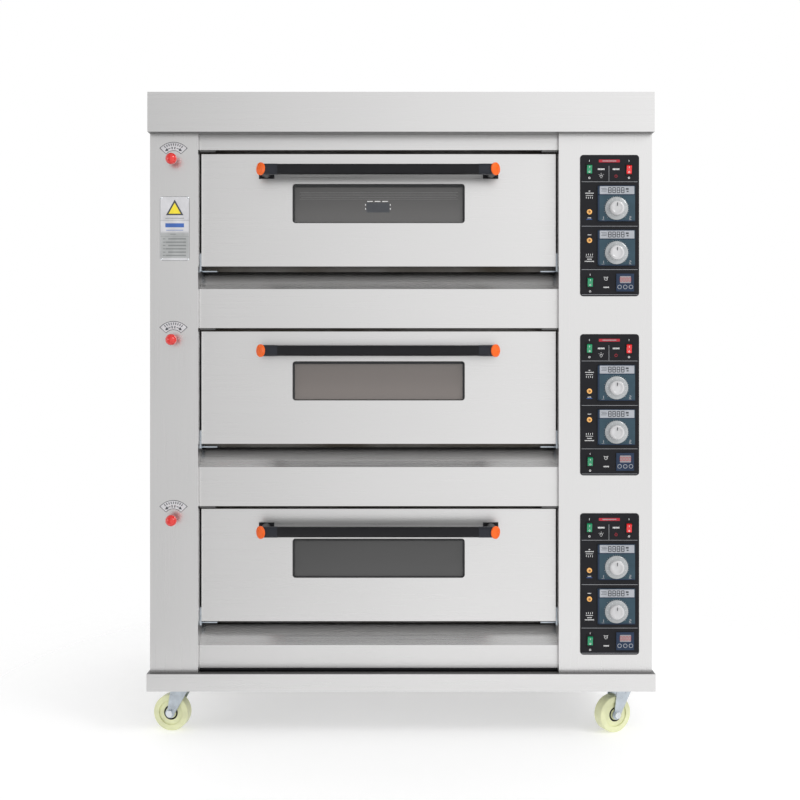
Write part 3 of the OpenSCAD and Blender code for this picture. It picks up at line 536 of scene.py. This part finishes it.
def turned(name, profile, centre, axis, mat, body, sides=48, flute=0.0, flutes=0):
    """A lathe-turned piece; the profile is (radius, height along the axis) in millimetres."""
    turn = Vector((0, 0, 1)).rotation_difference(Vector(axis)).to_matrix().to_4x4()
    to_place = Matrix.Translation(centre) @ turn
    bm = bmesh.new()
    rings = []
    for radius, height, share in [(*p, 1)[:3] for p in profile]:
        ring = []
        for i in range(sides):
            a = 2 * math.pi * i / sides
            r = radius - flute * share * (0.5 + 0.5 * math.cos(flutes * a))
            ring.append(bm.verts.new(to_place @ Vector((r * MM * math.cos(a),
                r * MM * math.sin(a), height * MM))))
        rings.append(ring)
    for a, b in zip(rings, rings[1:]):
        for i in range(sides):
            k = (i + 1) % sides
            bm.faces.new((a[i], a[k], b[k], b[i]))
    bm.faces.new(rings[0][::-1])
    bm.faces.new(rings[-1])
    bmesh.ops.recalc_face_normals(bm, faces=bm.faces)
    mesh = bpy.data.meshes.new(name)
    bm.to_mesh(mesh)
    bm.free()
    for face in mesh.polygons:
        face.use_smooth = True
    mesh.set_sharp_from_angle(angle=math.radians(35))
    return place(name, mesh, mat, body)


# ---------------------------------------------------------------- control plates

def plate_origin(deck):
    """Top left corner of a deck's control plate, on its front face."""
    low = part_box("control_plates")[0]
    switch = middle(f"{deck}_light_rocker")
    return Vector((low.x, low.y, switch.z + SWITCH_V * MM))


def plate_prints(deck):
    o = plate_origin(deck)
    lines = [rect(72.5, v, 138, 0.9) for v in (66.3, 176, 283.2, 345.2)]
    lines.append(rect(71, 46.5, 0.9, 38))
    flat_piece(f"{deck}_panel_lines", lines, o, PRINT, M["grey"])

    white = word(51.7, 35.3, 5, 4.2) + word(88.5, 35.3, 5, 4.2) + word(64.3, 327, 5, 3.4)
    for u, v0, v1 in ((22.7, 14.6, 56.7), (120.5, 14.6, 56.7), (24.5, 296, 337)):
        white.append(rect(u, v0, 1.1, 4.4))
        white += band(u, v1, 1.5, 2.5)
    white += word(22.7, 89.5, 2, 2.6) + word(22.7, 94.5, 11, 2.4)
    white += word(22.7, 155.5, 5, 2.2) + word(22.7, 197.5, 5, 2.2)
    white += word(22.7, 257.5, 6, 2.4) + word(22.7, 262.8, 11, 2.6)
    white += heat_icon(22.7, 104, 1) + heat_icon(22.7, 248, -1)
    white += bulb_icon(51.7, 52.5) + alarm_icon(63.6, 306)
    flat_piece(f"{deck}_panel_marks", white, o, PRINT, M["white"])

    red = [rounded(72, 15, 52, 6.8, 1.2)]
    red += band(88.5, 52.5, 2.6, 3.5, 120, 420) + [rect(88.5, 49.6, 0.9, 4)]
    flat_piece(f"{deck}_panel_red", red, o, PRINT, M["red_print"])
    flat_piece(f"{deck}_panel_title", word(72, 15, 14, 3.0), o, PRINT, M["grey"],
        lift=PRINT)
    flat_piece(f"{deck}_lamp_underline", [rect(22.7, 158.8, 14, 1.2)], o, PRINT, M["blue"])


def heat_icon(u, v, way):
    """A bar with four short rays under or over it."""
    out = [rect(u, v - way * 4, 18, 1)]
    out += [rect(u - 7.5 + 5 * i, v + way * (1.2 + 0.8 * (i % 2)), 1.1, 4.6) for i in range(4)]
    return out


def bulb_icon(u, v):
    out = band(u, v, 2.4, 3.3, -50, 230)
    out += [rect(u, v + 3.9, 3.0, 0.9), rect(u, v - 6.2, 0.9, 2.4)]
    out += [rect(u - 5.2, v - 3.6, 1.8, 0.8), rect(u + 5.2, v - 3.6, 1.8, 0.8)]
    return out


def alarm_icon(u, v):
    out = band(u, v, 3.4, 4.2)
    out += [rect(u, v - 1.2, 0.8, 2.8), rect(u + 1.0, v + 0.2, 2.4, 0.8)]
    out += [rect(u - 4.3, v - 4.2, 2.6, 1.1), rect(u + 4.3, v - 4.2, 2.6, 1.1)]
    return out


def thermostat_faces(deck):
    o = plate_origin(deck)
    o.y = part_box("thermostat_bodies")[0].y
    strips, marks, frames, corner = [], [], [], []
    for v in THERMOSTAT_V:
        top = v - 44
        strips.append(rect(90.5, top + 11.5, 85, 19.5))
        frames += [rect(89, top + 1, 91, 1.4), rect(45, v, 3.4, 87), rect(89, top + 22.4, 91, 1.6),
                   rect(89, top + 86.8, 91, 2)]
        marks += digits(88.5, top + 11.5, "8888", 12.5, 1.9)
        marks += [rect(115.5, top + 8.5, 7, 4.4), rect(116.5, top + 14.6, 5, 3.2)]
        marks += [rect(58 + 1.6 * (i % 2), top + 7 + 3.4 * i, 13, 1) for i in range(3)]
        corner += digit(55.5, top + 79.5, "1", 6.5, 1.5) + digit(123, top + 79.5, "2", 6.5, 1.5)
        corner += [rect(56, top + 84.6, 7, 0.8), rect(123, top + 84.6, 7, 0.8)]
    flat_piece(f"{deck}_display_strips", strips, o, 0.5, M["lcd"])
    flat_piece(f"{deck}_display_digits", marks, o, PRINT, M["ink"], lift=0.5)
    flat_piece(f"{deck}_display_frames", frames, o, 0.8, M["navy"])
    flat_piece(f"{deck}_dial_numbers", corner, o, PRINT, M["grey"])
    for level in ("lower", "upper"):
        dial_ticks(deck, level, o)
        dial_piece(deck, level)


def dial_ticks(deck, level, origin):
    centre = middle(f"{deck}_dial_{level}")
    u = (centre.x - origin.x) / MM
    v = (origin.z - centre.z) / MM
    out = []
    for i in range(28):
        a = math.radians(-45 + 10 * i)
        inner, outer = (29.2, 30.6 if i % 3 else 31.6)
        out.append([(u + r * math.cos(a + d), v - r * math.sin(a + d))
                    for r, d in ((inner, -0.011), (outer, -0.011), (outer, 0.011),
                                 (inner, 0.011))])
    flat_piece(f"{deck}_dial_{level}_ticks", out, origin, PRINT, M["grey"])


def dial_piece(deck, level):
    """The dial: a clear ribbed skirt, a fluted silver cap and a pointer."""
    node = f"{deck}_dial_{level}"
    centre = middle(node)
    back = Vector((centre.x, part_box("thermostat_bodies")[0].y - 0.3 * MM, centre.z))
    front = (0, -1, 0)
    skirt = [(28.0, 0), (28.5, 0.6), (28.5, 2.2), (27.6, 3.0), (25.0, 3.6), (19.5, 4.4),
             (19.0, 4.6)]
    cap = [(18.6, 3.6, 1), (18.4, 10.5, 1), (17.4, 12.2, 0.7), (15.4, 13.2, 0.2),
           (12.5, 13.5, 0), (11.6, 12.9, 0), (6, 12.5, 0), (1, 12.4, 0)]
    turned(f"{node}_skirt", skirt, back, front, M["dial_clear"], node,
        96, 0.25, 48)
    knob = turned(f"{node}_cap", cap, back, front, M["dial"], node, 96, 1.0, 24)
    turned(f"{node}_stem", [(3, -10), (3, 3.8)], back, front, M["black"],
        node, 24)
    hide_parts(node)
    pointer = [rect(0, -9, 1.6, 8.5)]
    flat_piece(f"{node}_pointer", pointer, Vector((back.x, back.y - 13.3 * MM, back.z)), 0.5,
        M["ink"], node)
    marks = [[(r * math.cos(a + d), -r * math.sin(a + d))
              for r, d in ((21.5, -0.014), (24.2, -0.014), (24.2, 0.014), (21.5, 0.014))]
             for a in (math.radians(-45 + 27 * i) for i in range(11))]
    flat_piece(f"{node}_scale", marks, Vector((back.x, back.y - 3.7 * MM, back.z)), 0.4,
        M["white"], node)


def timer_face(deck):
    o = plate_origin(deck)
    o.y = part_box("timer_modules")[0].y + 0.6 * MM
    u, v = TIMER_UV
    flat_piece(f"{deck}_timer_display", [rounded(u + 0.5, v - 7.2, 27, 17, 1.5)], o, 0.4,
        M["timer_glass"])
    shown = digits(u + 0.5, v - 7.2, "0000", 8.5, 1.3)
    flat_piece(f"{deck}_timer_digits", shown, o, PRINT, M["digits"], lift=0.4)
    keys = [disc(u + 14 * i, v + 11, 5.2) for i in (-1, 0, 1)]
    marks = [[(u - 2, v + 12.6), (u + 2, v + 12.6), (u, v + 9.0)],
             [(u + 12, v + 9.6), (u + 16, v + 9.6), (u + 14, v + 13.2)],
             rect(u - 14, v + 11, 3.6, 3.6)]
    flat_piece(f"{deck}_timer_keys", keys, o, 0.5, M["lcd"])
    flat_piece(f"{deck}_timer_key_marks", marks, o, PRINT, M["navy"],
        lift=0.5)


def rocker_marks(deck):
    """The I and O marks on each rocker, which tilt with it."""
    for switch in ("light", "power", "timer"):
        node = f"{deck}_{switch}_rocker"
        centre = middle(node)
        tilt = math.radians(9)
        pivot = Vector(joint_of(node)["pos_m"])
        bm = bmesh.new()
        for outlines, side in (([rect(0, 0, 1.0, 4.4)], 1), (band(0, 0, 1.3, 2.1), -1)):
            lean = tilt + side * math.atan2(6.4 - 4.6, 11.2)
            spot = Matrix.Rotation(tilt, 4, "X") @ Vector((0, -5.55 * MM, side * 6.0 * MM))
            place_at = Matrix.Translation(Vector((centre.x, pivot.y, pivot.z)) + spot) \
                @ Matrix.Rotation(lean, 4, "X")
            for line in outlines:
                front = [bm.verts.new(place_at @ Vector((u * MM, -0.22 * MM, -v * MM)))
                         for u, v in line]
                back = [bm.verts.new(place_at @ Vector((u * MM, 0.25 * MM, -v * MM)))
                        for u, v in line]
                close_prism(bm, front, back)
        bmesh.ops.recalc_face_normals(bm, faces=bm.faces)
        mesh = bpy.data.meshes.new(f"{node}_marks")
        bm.to_mesh(mesh)
        bm.free()
        place(f"{node}_marks", mesh, M["white"], node)


# ---------------------------------------------------------------- left column

def damper_scale(deck):
    """The arc plate over a damper knob, with its ticks and two arrows."""
    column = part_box("left_column")[0]
    x, _, z = joint_of(f"{deck}_damper")["pos_m"]
    o = Vector((x, column.y, z))
    sweep = (42, 138)
    film = band(0, 0, 24, 46, *sweep, 28)
    flat_piece(f"{deck}_damper_scale", film, o, 0.3, M["label"])
    ink = band(0, 0, 44.6, 46, *sweep, 28) + band(0, 0, 24, 25.2, *sweep, 28)
    for a in sweep:
        ink += band(0, 0, 24, 46, a - 1, a + 1, 1)
    for i in range(9):
        a = 58 + 8 * i
        ink += band(0, 0, 37, 42.5, a - 1.5, a + 1.5, 1)
    ink += band(0, 0, 28, 34, 81.5, 86, 2) + band(0, 0, 28, 34, 94, 98.5, 2)
    for side in (-1, 1):
        tip, root = 90 + side * 42, 90 + side * 28
        ink += band(0, 0, 30.5, 32, min(root, 90 + side * 14), max(root, 90 + side * 14), 6)
        ink.append([(r * math.cos(math.radians(a)), -r * math.sin(math.radians(a)))
                    for r, a in ((31.2, tip), (35.5, root), (27, root))])
    flat_piece(f"{deck}_damper_marks", ink, o, 0.12, M["ink"], lift=0.3)


def column_label():
    """A label plate with a plain triangle, bars and four rivets; it carries no words."""
    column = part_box("left_column")[0]
    x, _, z = joint_of("upper_damper")["pos_m"]
    o = Vector((x + 3 * MM, column.y, z - 89 * MM))
    cut = 6
    w, h = 72, 158
    plate = [(-w / 2 + cut, 0), (w / 2 - cut, 0), (w / 2, cut), (w / 2, h - cut),
             (w / 2 - cut, h), (-w / 2 + cut, h), (-w / 2, h - cut), (-w / 2, cut)]
    flat_piece("label_plate", [plate], o, 0.6, M["label"])
    flat_piece("label_lower", [rect(0, 121, w - 3, 62)], o, PRINT, M["label_low"],
        lift=0.6)
    flat_piece("label_triangle", [[(0, 7.5), (21.5, 46), (-21.5, 46)]], o, PRINT, M["ink"],
        lift=0.6)
    flat_piece("label_triangle_face", [[(0, 15.5), (15, 42.3), (-15, 42.3)]], o, PRINT,
        M["yellow"], lift=0.75)
    lines = [rect(0, 53.5, 46, 1.3)]
    lines += [rect(0, v, w - 2, 0.6) for v in (58.5, 88, 99)]
    lines += [rect(-4, 93, 14, 1.6)]
    lines += [rect(6 - (i % 2) * 3, 104.5 + 8.2 * i, 44 + 6 * (i % 2), 3.4) for i in range(6)]
    lines += [rect(-26, 104.5 + 8.2 * i, 6, 2.4) for i in range(6)]
    flat_piece("label_lines", lines, o, PRINT, M["text"], lift=0.75)
    edge = [line for a, b in zip(plate, plate[1:] + plate[:1]) for line in stroke(a, b, 0.9)]
    flat_piece("label_edge", edge, o, PRINT, M["text"], lift=0.75)
    blue = [rect(0, 71, 46, 10), rect(0, 83, 42, 1.2)]
    flat_piece("label_blue", blue, o, PRINT, M["blue"], lift=0.6)
    spots = [(sx * (w / 2 - 3), 3 if top else h - 3) for sx in (-1, 1) for top in (0, 1)]
    for i, (u, v) in enumerate(spots):
        at = Vector((o.x + u * MM, o.y, o.z - v * MM))
        turned(f"label_rivet_{i}", [(2.4, 0), (2.4, 0.7), (1.7, 1.3), (0.6, 1.6)], at,
            (0, -1, 0), M["bolt"], ROOT, 20)


def stroke(a, b, width):
    """A straight line between two points, as one outline."""
    (u0, v0), (u1, v1) = a, b
    length = math.hypot(u1 - u0, v1 - v0)
    du, dv = -(v1 - v0) / length * width / 2, (u1 - u0) / length * width / 2
    return [[(u0 + du, v0 + dv), (u1 + du, v1 + dv), (u1 - du, v1 - dv), (u0 - du, v0 - dv)]]


# ---------------------------------------------------------------- screws and small fittings

def screw(name, at, axis, body=ROOT, r=4.0):
    """A pan-head screw with a cross recess."""
    turn = Vector((0, 0, 1)).rotation_difference(Vector(axis)).to_matrix().to_4x4()
    to_place = Matrix.Translation(at) @ turn
    sides = 32
    arm, core = 0.5, 0.18
    bm = bmesh.new()
    angles = [2 * math.pi * i / sides for i in range(sides)]
    rings = []
    for radius, height in ((r, 0), (r, 0.9), (0.86 * r, 1.7), (0.6 * r, 2.2)):
        rings.append([bm.verts.new(to_place @ Vector((radius * MM * math.cos(a),
            radius * MM * math.sin(a), height * MM))) for a in angles])
    recess = []
    for a in angles:
        radius = r * (core + (arm - core) * abs(math.cos(2 * a)) ** 3)
        recess.append((radius * math.cos(a), radius * math.sin(a)))
    for height in (2.25, 1.1):
        rings.append([bm.verts.new(to_place @ Vector((x * MM, y * MM, height * MM)))
                      for x, y in recess])
    for a, b in zip(rings, rings[1:]):
        for i in range(sides):
            k = (i + 1) % sides
            bm.faces.new((a[i], a[k], b[k], b[i]))
    bm.faces.new(rings[-1])
    bm.faces.new(rings[0][::-1])
    bmesh.ops.recalc_face_normals(bm, faces=bm.faces)
    mesh = bpy.data.meshes.new(name)
    bm.to_mesh(mesh)
    bm.free()
    return place(name, mesh, M["bolt"], body)


def panel_screws():
    low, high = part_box("back_panel")
    inset = 10 * MM
    count = 0
    for x in (low.x + inset, 0, high.x - inset):
        for i in range(5):
            z = low.z + inset + (high.z - low.z - 2 * inset) * i / 4
            screw(f"back_screw_{count}", Vector((x, high.y, z)), (0, 1, 0))
            count += 1
    low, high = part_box("side_panels")
    count = 0
    for x, way in ((low.x, -1), (high.x, 1)):
        for y in (low.y + 30 * MM, (low.y + high.y) / 2, high.y - inset):
            for z in (low.z + inset, (low.z + high.z) / 2, high.z - inset):
                screw(f"side_screw_{count}", Vector((x, y, z)), (way, 0, 0))
                count += 1
    low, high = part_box("canopy")
    count = 0
    for x, way in ((low.x, -1), (high.x, 1)):
        for y in (low.y + 60 * MM, (low.y + high.y) / 2, high.y - 60 * MM):
            screw(f"canopy_screw_{count}", Vector((x, y, low.z + 14 * MM)), (way, 0, 0))
            count += 1


def door_screws():
    """Screws round each window on the inner face of the door."""
    for deck in DECKS:
        low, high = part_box(f"{deck}_door_window")
        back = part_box(f"{deck}_door_casing")[1].y
        margin = 12 * MM
        spots = [(x, z) for x in (low.x - margin, (low.x + high.x) / 2, high.x + margin)
                 for z in (low.z - margin, high.z + margin)]
        for i, (x, z) in enumerate(spots):
            screw(f"{deck}_door_screw_{i}", Vector((x, back - 0.9 * MM, z)), (0, 1, 0),
                f"{deck}_door", 3.2)


def wheel_bearings():
    """The dark bearing ring and the tread line on each face of a wheel."""
    for corner in CORNERS:
        wheel = f"{corner}_wheel"
        roll = joint_of(wheel)
        centre, axis = Vector(roll["pos_m"]), Vector(roll["axis"])
        for side, way in (("a", 1), ("b", -1)):
            turned(f"{wheel}_bearing_{side}",
                [(13.2, 10.9), (18.6, 10.9), (18.9, 12.2), (17.8, 13.2), (14.2, 13.2),
                 (13.2, 12.4)], centre, axis * way, M["black"], wheel, 40)
            turned(f"{wheel}_web_{side}",
                [(19.2, 10.9), (31.5, 10.9), (31.8, 11.6), (26, 12.8), (19.2, 12.9)], centre,
                axis * way, M["nylon"], wheel, 56)


def door_stops():
    """The small stop plate over each end of a door, under the fascia."""
    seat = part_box("front_fascias")[0].y + 2 * MM
    for deck in DECKS:
        low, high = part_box(f"{deck}_door_casing")
        for side, x, way in (("left", low.x, 1), ("right", high.x, -1)):
            o = Vector((x, seat, high.z))
            flat_piece(f"{deck}_door_stop_{side}", [rect(way * 17.5, -6, 38, 5)], o, 1.2,
                M["steel_shade"])


def base_shadow_strip():
    """A black strip of painted shadow in the gap between the lowest fascia and the base."""
    low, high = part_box("front_fascias")
    o = Vector(((low.x + high.x) / 2, low.y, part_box("base_pan")[1].z))
    width = (high.x - low.x) / MM
    # Painted shadow: this black strip stands in for the shade in the gap above the base.
    flat_piece("base_shadow_strip", [rounded(0, -3.2, width - 1, 6, 1.5)], o, 1.6, M["black"])


def window_reveal_shadows():
    """Painted shadow of the window reveal: dark strips in front of each outer pane, deepest along
    its top.
    """
    w, h = WINDOW_W, WINDOW_H
    for deck in DECKS:
        low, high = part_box(f"{deck}_door_window")
        o = Vector(((low.x + high.x) / 2, low.y, (low.z + high.z) / 2))
        # Painted reveal shadow, widest along the top of the pane.
        bars = [rect(0, 4 - h / 2, w - 2, 6), rect(0, h / 2 - 1.6, w - 2, 1.2)]
        bars += [rect(side * (w / 2 - 3), 2.4, 4, h - 8) for side in (-1, 1)]
        flat_piece(f"{deck}_window_reveal_shadow", bars, o, 2.2, M["reveal_shadow"],
            f"{deck}_door")
        if deck == "upper":
            # Painted reflections: thin lighter lines across the upper window.
            lines = [rect(0, -29 + 4.2 * i, w - 34 - 8 * (i % 2), 0.7) for i in range(5)]
            flat_piece("upper_window_reflection_lines", lines, o, PRINT, M["glass_reflection"],
                "upper_door")
            notice = [rounded(-2, 9, 58, 24, 2)]
            flat_piece("upper_window_notice", notice, o, PRINT, M["ink"],
                "upper_door")
            dashes = [rect(-22 + 19 * i, -6.5, 14, 2) for i in range(3)]
            dashes += [rect(-2 + side * 31, v, 2, 4) for side in (-1, 1) for v in (2, 12)]
            flat_piece("upper_window_dashes", dashes, o, PRINT, M["white"],
                "upper_door")


def lamp_centres():
    """The dark jewel in the middle of each amber lamp."""
    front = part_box("indicator_lamps")[0].y
    for deck in DECKS:
        o = plate_origin(deck)
        for i, v in enumerate(LAMP_V):
            at = Vector((o.x + LAMP_U * MM, front + 0.5 * MM, o.z - v * MM))
            turned(f"{deck}_lamp_centre_{i}", [(2.9, 0), (2.9, 0.7), (1.6, 1.0)], at, (0, -1, 0),
                M["amber_core"], ROOT, 20)


# ---------------------------------------------------------------- stage, light and camera

def make_floor():
    bpy.ops.mesh.primitive_circle_add(vertices=96, radius=6, fill_type="NGON")
    floor = bpy.context.object
    floor.name = "floor"
    mat, shader = new_material("floor", (0.80, 0.80, 0.80), 0.0, 0.8)
    shader.inputs["Emission Color"].default_value = (1, 1, 1, 1)
    shader.inputs["Emission Strength"].default_value = 0.33
    tree = mat.node_tree
    coords = tree.nodes.new("ShaderNodeTexCoord")
    length = tree.nodes.new("ShaderNodeVectorMath")
    length.operation = "LENGTH"
    fade = tree.nodes.new("ShaderNodeMapRange")
    fade.interpolation_type = "SMOOTHSTEP"
    fade.inputs["From Min"].default_value = 0.6
    fade.inputs["From Max"].default_value = 1.5
    clear = tree.nodes.new("ShaderNodeBsdfTransparent")
    mix = tree.nodes.new("ShaderNodeMixShader")
    tree.links.new(coords.outputs["Object"], length.inputs[0])
    tree.links.new(length.outputs["Value"], fade.inputs["Value"])
    tree.links.new(fade.outputs["Result"], mix.inputs["Fac"])
    tree.links.new(shader.outputs["BSDF"], mix.inputs[1])
    tree.links.new(clear.outputs["BSDF"], mix.inputs[2])
    tree.links.new(mix.outputs["Shader"], tree.nodes["Material Output"].inputs["Surface"])
    floor.data.materials.append(mat)


def make_world():
    """A white studio whose ceiling is darker, and whose front wall is dimmer to the left."""
    world = bpy.data.worlds.new("studio")
    bpy.context.scene.world = world
    world.use_nodes = True
    tree = world.node_tree
    back = tree.nodes["Background"]
    coords = tree.nodes.new("ShaderNodeTexCoord")
    split = tree.nodes.new("ShaderNodeSeparateXYZ")
    tree.links.new(coords.outputs["Generated"], split.inputs[0])

    def span(value, low, high, to_low, to_high):
        node = tree.nodes.new("ShaderNodeMapRange")
        node.interpolation_type = "SMOOTHSTEP"
        for key, number in (("From Min", low), ("From Max", high), ("To Min", to_low),
                            ("To Max", to_high)):
            node.inputs[key].default_value = number
        tree.links.new(value, node.inputs["Value"])
        return node.outputs["Result"]

    def times(a, b):
        node = tree.nodes.new("ShaderNodeMath")
        node.operation = "MULTIPLY"
        tree.links.new(a, node.inputs[0])
        tree.links.new(b, node.inputs[1])
        return node.outputs[0]

    ceiling = span(split.outputs["Z"], 0.35, 0.95, 1.0, 0.7)
    sideways = span(split.outputs["X"], -0.26, 0.02, 0.60, 1.10)
    front = span(split.outputs["Y"], -0.5, 0.1, 0.0, 1.0)
    mix = tree.nodes.new("ShaderNodeMix")
    tree.links.new(front, mix.inputs["Factor"])
    tree.links.new(sideways, mix.inputs["A"])
    mix.inputs["B"].default_value = 1.0
    tree.links.new(times(ceiling, mix.outputs["Result"]), back.inputs["Strength"])
    back.inputs["Color"].default_value = (1, 1, 1, 1)


def area_light(name, at, target, size, watts):
    lamp = bpy.data.lights.new(name, "AREA")
    lamp.shape = "DISK"
    lamp.size = size
    lamp.energy = watts
    obj = bpy.data.objects.new(name, lamp)
    obj.location = at
    obj.rotation_euler = (Vector(target) - Vector(at)).to_track_quat("-Z", "Y").to_euler()
    bpy.context.scene.collection.objects.link(obj)


def make_camera():
    """A level camera in front of the columns, at a little over half the oven's height."""
    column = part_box("left_column")[0]
    cam = bpy.data.cameras.new("camera")
    cam.lens = 51
    cam.sensor_width = 36
    cam.shift_x = -0.00125
    cam.shift_y = -0.0625
    obj = bpy.data.objects.new("camera", cam)
    obj.location = (0, column.y - CAMERA_DISTANCE, CAMERA_HEIGHT)
    obj.rotation_euler = (math.pi / 2, 0, 0)
    bpy.context.scene.collection.objects.link(obj)
    bpy.context.scene.camera = obj


def make_studio():
    make_world()
    make_floor()
    area_light("key", (3.4, -3.0, 3.8), (0, 0, 0.8), 1.8, 70)
    area_light("fill", (-4.0, -2.4, 1.2), (0, 0, 0.8), 2.0, 20)
    make_camera()
    bpy.context.scene.view_settings.view_transform = "Standard"


make_studio()
finish_body()
finish_doors()
finish_controls()
finish_castors()
for deck_name in DECKS:
    plate_prints(deck_name)
    thermostat_faces(deck_name)
    timer_face(deck_name)
    rocker_marks(deck_name)
    damper_scale(deck_name)
column_label()
panel_screws()
door_screws()
wheel_bearings()
door_stops()
base_shadow_strip()
window_reveal_shadows()
lamp_centres()
